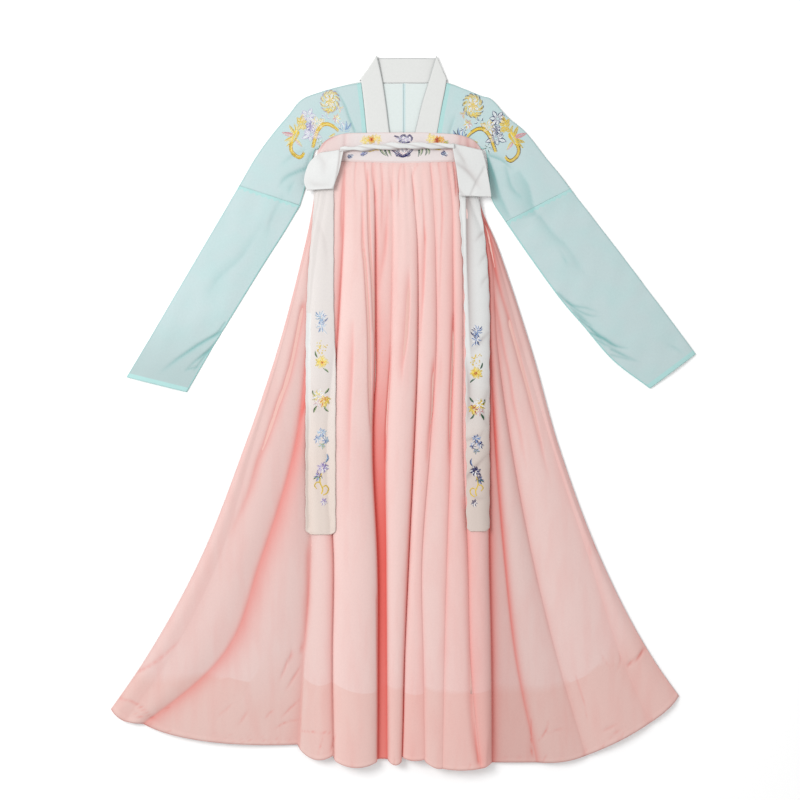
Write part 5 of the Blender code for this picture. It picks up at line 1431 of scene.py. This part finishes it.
def make_sleeve(name, sections, material):
    """The lower sleeve, a flat tube whose upper side is a little crowned."""
    rows, upper, lower, edge = 200, 64, 12, 1.3
    place = np.append([-0.022, -0.004], np.linspace(0, len(sections) - 1, rows))
    outer, inner = smooth_rows(sections, place).transpose(1, 0, 2)
    width = np.linalg.norm(inner - outer, axis=1)[:, None]
    turn = np.concatenate((np.linspace(0, math.pi, upper, endpoint=False),
                           np.linspace(math.pi, 2 * math.pi, lower + 1)))
    share = (0.5 - 0.5 * np.cos(turn))[None, :]
    away = np.minimum(share, 1 - share) * width
    rounding = np.sqrt(np.clip(1 - (1 - np.minimum(away, edge) / edge) ** 2, 0, 1))
    over = (turn <= math.pi)[None, :]
    crown = SLEEVE_CROWN * 0.9 * np.sin(math.pi * share) ** 0.9
    height = np.where(over, edge + (2.5 - edge) * rounding + crown, edge - edge * rounding)
    flat = outer[:, None] + (inner - outer)[:, None] * share[..., None]
    points = np.concatenate((flat, height[..., None]), -1)
    lowered, tint = creased(points, MINT_CREASES)
    loose = np.clip(waved(points, LOOSE_SIZE, 0.6, 8), -0.6, 0.6) * rounding
    points[..., 2] += np.where(over, loose - lowered, 0)
    tint = np.maximum(tint, folded_edge_shade(away))
    length = np.append(0, np.cumsum(np.linalg.norm(np.diff((outer + inner) / 2, axis=0), axis=1)))
    tucked = SLEEVE_LIFT * np.exp(-(length / SLEEVE_EASE) ** 2) - SLEEVE_TUCK * (place < -0.01)
    points[..., 2] += np.where(over, tucked[:, None] * rounding, 0)
    cuff = CUFF_SHADE[name] * eased((length / length[-1] - 0.55) / 0.45)[:, None] + 0 * share
    uneven = SEAM_UNEVEN * np.sin(share * width / SEAM_STITCH)
    seam = np.maximum((SLEEVE_SEAM - length)[:, None] + uneven,
                      (length - length[-1] + CUFF_HEM)[:, None])
    seam = np.maximum(seam, UNDERARM_SEAM - (1 - share) * width)
    if name == "right":
        points, seam, tint, cuff = (part[:, ::-1] for part in (points, seam, tint, cuff))
    lay_cloth("sleeve_" + name, points, material, "mint_chiffon", "laid", "floor", closed=True,
              layers={"doubled": seam, "tint": tint, "cuff": cuff})


def collar_lines():
    """Seamed and free edge of the collar strip, from the right lapel round the neck to the left."""
    lines = [((b, a, e), (d, c, e)) for a, b, c, d, e in LAPEL_RIGHT]
    for fold, side in ((NECK_FOLD_RIGHT, -1), (NECK_FOLD_LEFT, 1)):
        seam, free = fold
        length = math.dist(seam, free)
        out = (side * (free[1] - seam[1]) / length, side * (seam[0] - free[0]) / length)
        turned = []
        for angle in (80, 40, 0, -40, -80):
            push = NECK_FOLD_RADIUS * math.cos(math.radians(angle))
            lift = NECK_FOLD_RADIUS * (math.sin(math.radians(angle)) - 1) + LAPEL_TOP + 0.6
            turned.append(tuple((x + out[0] * push, y + out[1] * push, lift) for x, y in fold))
        if side < 0:
            lines += turned
            lines += [((a, b, NECK_BACK_LEVELS[0]), (c, d, NECK_BACK_LEVELS[1]))
                      for a, b, c, d in NECK_BACK]
        else:
            lines += turned[::-1]
    return lines + [((b, a, e), (d, c, e)) for a, b, c, d, e in LAPEL_LEFT[::-1]]


def make_collar():
    """The white strip, rolled a little at its edges, with painted shade along its free edge."""
    lines = np.array(collar_lines(), float)
    place = np.linspace(0, len(lines) - 1, (len(lines) - 1) * 8 + 1)
    edges = smooth_rows(lines, place)
    share = strip_shares(14, 0.1)
    points = blend(edges[:, 0], edges[:, 1], share)
    points[..., 2] -= 0.5 * np.exp(-(np.minimum(share, 1 - share) * COLLAR_WIDTH / 1.2) ** 2)
    # Painted shade: a grey line along the strip's free edge.
    tint = 0.8 * np.exp(-((1 - share) * COLLAR_WIDTH / 1.3) ** 2) + 0 * place[:, None]
    material = plain_cloth("polyester_poplin_white", bpy.context.scene.hanfu_colours.white, 0.6, 0.05,
                           tint=linear("#8f9494"))
    lay_cloth("collar", points, material, "white_collar", "folded", "blouse_back_left_cloth",
              wall=0.9, layers={"tint": tint})


def make_ribbons():
    """The twisted tie, and a loop and an embroidered streamer at each of its ends."""
    colours = bpy.context.scene.hanfu_colours
    ribbon = plain_cloth("polyester_chiffon_ribbon", colours.ribbon, 0.62, 0.1,
                         doubled=colours.ribbon_doubled, low=colours.ribbon_low,
                         tint=colours.ribbon_shade_and_stitching)
    make_tie(ribbon)
    for name, front in (("right", LOOP_RIGHT_FRONT), ("left", LOOP_LEFT_FRONT)):
        make_loop(name, front, ribbon)
    thread = stitched_thread()
    for name, edges in (("right", STREAMER_RIGHT), ("left", STREAMER_LEFT)):
        make_streamer(name, edges, ribbon, thread)


def ribbon_layers(points, **given):
    """The ribbons' layers, plain where none is given."""
    plain = {"doubled": NO_SEAM, "low": 0.0, "tint": 0.0}
    return {key: given.get(key, value) + np.zeros(points.shape[:2]) for key, value in plain.items()}


def make_tie(material):
    """A soft twisted cord of doubled ribbon across the band."""
    turn = np.linspace(0, 2 * math.pi, 41)
    share = np.linspace(0, 1, 140)[:, None]
    twist = 2 * math.pi * TIE_TURNS * share
    taper = np.interp(share, *zip(*TIE_TAPER))
    pleat = 0.08 * np.cos(5 * (turn - twist)) + 0.05 * np.cos(9 * (turn - twist) + 1) \
        + 0.06 * np.sin(31 * share + 2 * np.sin(9 * share))
    radius = TIE_RADIUS * (1 + TIE_LOBE * np.cos(2 * (turn - twist)) + pleat) * taper
    centre = np.array(TIE_START) + (np.array(TIE_END) - TIE_START) * share
    bow = TIE_BOW * np.sin(math.pi * share)
    points = np.stack((centre[:, :1] + 0 * turn, centre[:, 1:] + bow + radius * np.cos(turn),
                       TIE_LEVEL + TIE_SQUASH * radius * np.sin(turn)), -1)
    # Painted shade inside the turns of the twist and along the cord's underside.
    inside = np.clip(-2.2 * np.cos(2 * (turn - twist)) - 1.2, 0, 1) * 0.35
    under = 0.7 * np.clip(-np.cos(turn) - 0.6, 0, 1) / 0.4
    shade = np.clip(inside + under, 0, 0.8)
    lay_cloth("tie", points, material, "white_ribbon", "folded", "skirt_band_front_cloth",
              closed=True, layers=ribbon_layers(points, doubled=DOUBLED, tint=shade))


def make_loop(name, front, material):
    """A loop of ribbon: its front, the turn at its lower end, and the layer that goes back up."""
    lines = np.array(front, float)
    radius = LOOP_TURN / 2
    bottom = lines[-1]
    turned = [bottom - [0, radius * math.cos(a), radius * (1 - math.sin(a))]
              for a in np.radians((60, 30, 0, -30, -60))]
    under = []
    for way in (0.0, 0.5, 1.0):
        line = bottom + [0, LOOP_BACK_LENGTH * way, -2 * radius]
        line[:, 0] += (bottom.mean(0)[0] - line[:, 0]) * (1 - LOOP_BACK_SHARE) * way
        under.append(line)
    lines = np.concatenate((lines, turned, under))
    place = np.linspace(0, len(lines) - 1, (len(lines) - 1) * 9 + 1)
    edges = smooth_rows(lines, place)
    points = blend(edges[:, 0], edges[:, 1], np.linspace(0, 1, 44))
    lowered, tint = creased(points, LOOP_CREASES)
    top = (place < len(front) - 0.5)[:, None]
    points[..., 2] += np.where(top, waved(points, size=40, height=0.5, seed=len(name)) - lowered, 0)
    # The layer that goes back up, and the turn, get an even painted shade.
    lay_cloth("ribbon_loop_" + name, points, material, "white_ribbon", "folded",
              "skirt_front_cloth",
              layers=ribbon_layers(points, doubled=DOUBLED, tint=np.where(top, tint, 0.25)))


def streamer_surface(edges, scallop):
    """A streamer's points: its wavy edges, its rounded end, and the height of what it lies on."""
    table = np.array(edges, float)
    place = np.linspace(0, len(table) - 1, 280)
    lines = smooth_rows(table, place)
    along = lines[:, :1]
    wave = scallop * (np.sin(along / 5.6) + 0.7 * np.sin(along / 8.9 + 1) - 0.4)
    end = 1 - eased((along - along[-1]) / 9)       # rounded corners of the cut end
    outer, inner = lines[:, 1:2] + wave, lines[:, 2:3] + 0.5 * wave
    narrowed = (inner - outer) * 0.12 * end ** 2
    outer, inner = outer + narrowed, inner - narrowed
    share = np.linspace(0, 1, 34)
    across = outer + (inner - outer) * share
    along = along + 0 * share
    height = highest_near(across, along, RIBBON_REACH) + RIBBON_CLEAR + RIBBON_WALL
    window = np.hanning(2 * RIBBON_EASE + 3)[1:-1]
    padded = np.pad(height, ((RIBBON_EASE, RIBBON_EASE), (0, 0)), mode="edge")
    height = sum(weight * padded[i:i + len(height)] for i, weight in enumerate(window / window.sum()))
    return np.stack((across, along, height), -1)


def make_streamer(name, edges, material, thread):
    """A streamer with stitched edges; the right one is sheer, with one doubled border."""
    right = name == "right"
    place, scale, mirror, scallop = STREAMER_PLACES[name]
    points = streamer_surface(edges, scallop)
    lowered, tint = creased(points, STREAMER_CREASES)
    points[..., 2] += waved(points, size=70, height=0.5, seed=30) - lowered
    from_edge = points[..., 0] - points[:, :1, 0]
    away = np.minimum(from_edge, points[:, -1:, 0] - points[..., 0])
    # The stitch lines along the edges, the creases' painted shade and, on the left streamer, painted shade
    # towards its low end all go into one layer.
    stitched = 0.12 * np.exp(-((away - 2.2) / 0.7) ** 2)
    low = eased((150 - points[..., 1]) / 300)
    doubled = np.where(points[..., 1] < BORDER_START, RIBBON_BORDER - from_edge, NO_SEAM)
    shaded = 1 - (1 - tint) * (1 - stitched) * (1 - (0 if right else RIBBON_SHADE) * low)
    needle = needle_for(STREAMER_MOTIF, place, scale=scale, mirror=mirror, seed=40 + right,
                        deep=not right)
    lay_cloth("ribbon_streamer_" + name, points, material, "white_ribbon", "laid",
              "skirt_front_cloth", sewn=("streamer_embroidery_" + name, needle, thread),
              layers=ribbon_layers(points, low=low, tint=shaded,
                                   doubled=doubled if right else DOUBLED))


# ---------------------------------------------------------------- stage
CAMERA_PLACE = (-0.0076, 0.02565, 3.0)  # metres, straight above the garment
SENSOR = 36.0          # millimetres
VIEW_WIDTH = 1.52      # metres of floor seen across
SOFTBOX_PLACE = (-1.9, 0.9, 2.3)
SOFTBOX_SIZE = 1.6
SOFTBOX_POWER = 54.0   # watts
STUDIO_LIGHT = 0.81    # even light from all round


def make_stage():
    """A pale floor, the camera, one soft light from the wearer's right, and even light all round."""
    scene = bpy.context.scene
    scene.view_settings.view_transform = "Standard"
    mesh = bpy.data.meshes.new("floor")
    plane = bmesh.new()
    bmesh.ops.create_grid(plane, x_segments=1, y_segments=1, size=FLOOR_SIZE / 2)
    plane.to_mesh(mesh)
    plane.free()
    floor = add_object("floor", mesh, (0, 0, -0.3 * MM))
    material, _, shader = new_material("matt_paper_floor", 0.9, 0.0, specular=0.1)
    shader.inputs["Base Color"].default_value = rgba(linear("#fcfcfc"))
    mesh.materials.append(material)
    scene.camera = add_object("camera", bpy.data.cameras.new("camera"), CAMERA_PLACE)
    scene.camera.data.sensor_width = SENSOR
    scene.camera.data.lens = SENSOR * CAMERA_PLACE[2] / VIEW_WIDTH
    lamp = bpy.data.lights.new("softbox", "AREA")
    lamp.shape = "DISK"
    lamp.size = SOFTBOX_SIZE
    lamp.energy = SOFTBOX_POWER
    softbox = add_object("softbox", lamp, SOFTBOX_PLACE)
    softbox.rotation_euler = softbox.location.to_track_quat("Z", "Y").to_euler()
    world = bpy.data.worlds.new("studio")
    world.use_nodes = True
    scene.world = world
    background = world.node_tree.nodes["Background"]
    background.inputs["Color"].default_value = rgba((1.0, 1.0, 1.0))
    background.inputs["Strength"].default_value = STUDIO_LIGHT


# ---------------------------------------------------------------- add-on
class HANFU_OT_skirt(bpy.types.Operator):
    """Make the folded skirt, its lining and its back"""
    bl_idname = "hanfu.skirt"
    bl_label = "Skirt"

    def execute(self, context):
        make_skirt()
        return {"FINISHED"}


class HANFU_OT_band(bpy.types.Operator):
    """Make the band above the skirt"""
    bl_idname = "hanfu.band"
    bl_label = "Band"

    def execute(self, context):
        make_bands()
        return {"FINISHED"}


class HANFU_OT_blouse(bpy.types.Operator):
    """Make the blouse and its sleeves"""
    bl_idname = "hanfu.blouse"
    bl_label = "Blouse"

    def execute(self, context):
        make_blouse()
        return {"FINISHED"}


class HANFU_OT_collar(bpy.types.Operator):
    """Make the white collar strip"""
    bl_idname = "hanfu.collar"
    bl_label = "Collar"

    def execute(self, context):
        make_collar()
        return {"FINISHED"}


class HANFU_OT_ribbons(bpy.types.Operator):
    """Make the tie, its loops and the streamers"""
    bl_idname = "hanfu.ribbons"
    bl_label = "Ribbons"

    def execute(self, context):
        make_ribbons()
        return {"FINISHED"}


class HANFU_OT_stage(bpy.types.Operator):
    """Make the floor, the light and the camera"""
    bl_idname = "hanfu.stage"
    bl_label = "Stage"

    def execute(self, context):
        make_stage()
        return {"FINISHED"}


STEPS = (HANFU_OT_skirt, HANFU_OT_band, HANFU_OT_blouse, HANFU_OT_collar, HANFU_OT_ribbons,
         HANFU_OT_stage)


class HANFU_PT_panel(bpy.types.Panel):
    """Lists the pieces of the set"""
    bl_label = "Hanfu robe"
    bl_space_type = "VIEW_3D"
    bl_region_type = "UI"
    bl_category = "Hanfu"

    def draw(self, context):
        layout = self.layout
        for step in STEPS:
            layout.operator(step.bl_idname)
        for group in (context.scene.hanfu_sizes, context.scene.hanfu_colours):
            for key in group.bl_rna.properties.keys():
                if key not in ("rna_type", "name"):
                    layout.prop(group, key)


CLASSES = (HanfuColours, HanfuSizes) + STEPS + (HANFU_PT_panel,)


def register():
    for item in CLASSES:
        bpy.utils.register_class(item)
    bpy.types.Scene.hanfu_colours = PointerProperty(type=HanfuColours)
    bpy.types.Scene.hanfu_sizes = PointerProperty(type=HanfuSizes)


def unregister():
    del bpy.types.Scene.hanfu_sizes
    del bpy.types.Scene.hanfu_colours
    for item in reversed(CLASSES):
        bpy.utils.unregister_class(item)


def main():
    """Build every piece."""
    register()
    for step in STEPS:
        group, name = step.bl_idname.split(".")
        getattr(getattr(bpy.ops, group), name)()


if __name__ == "__main__":
    main()
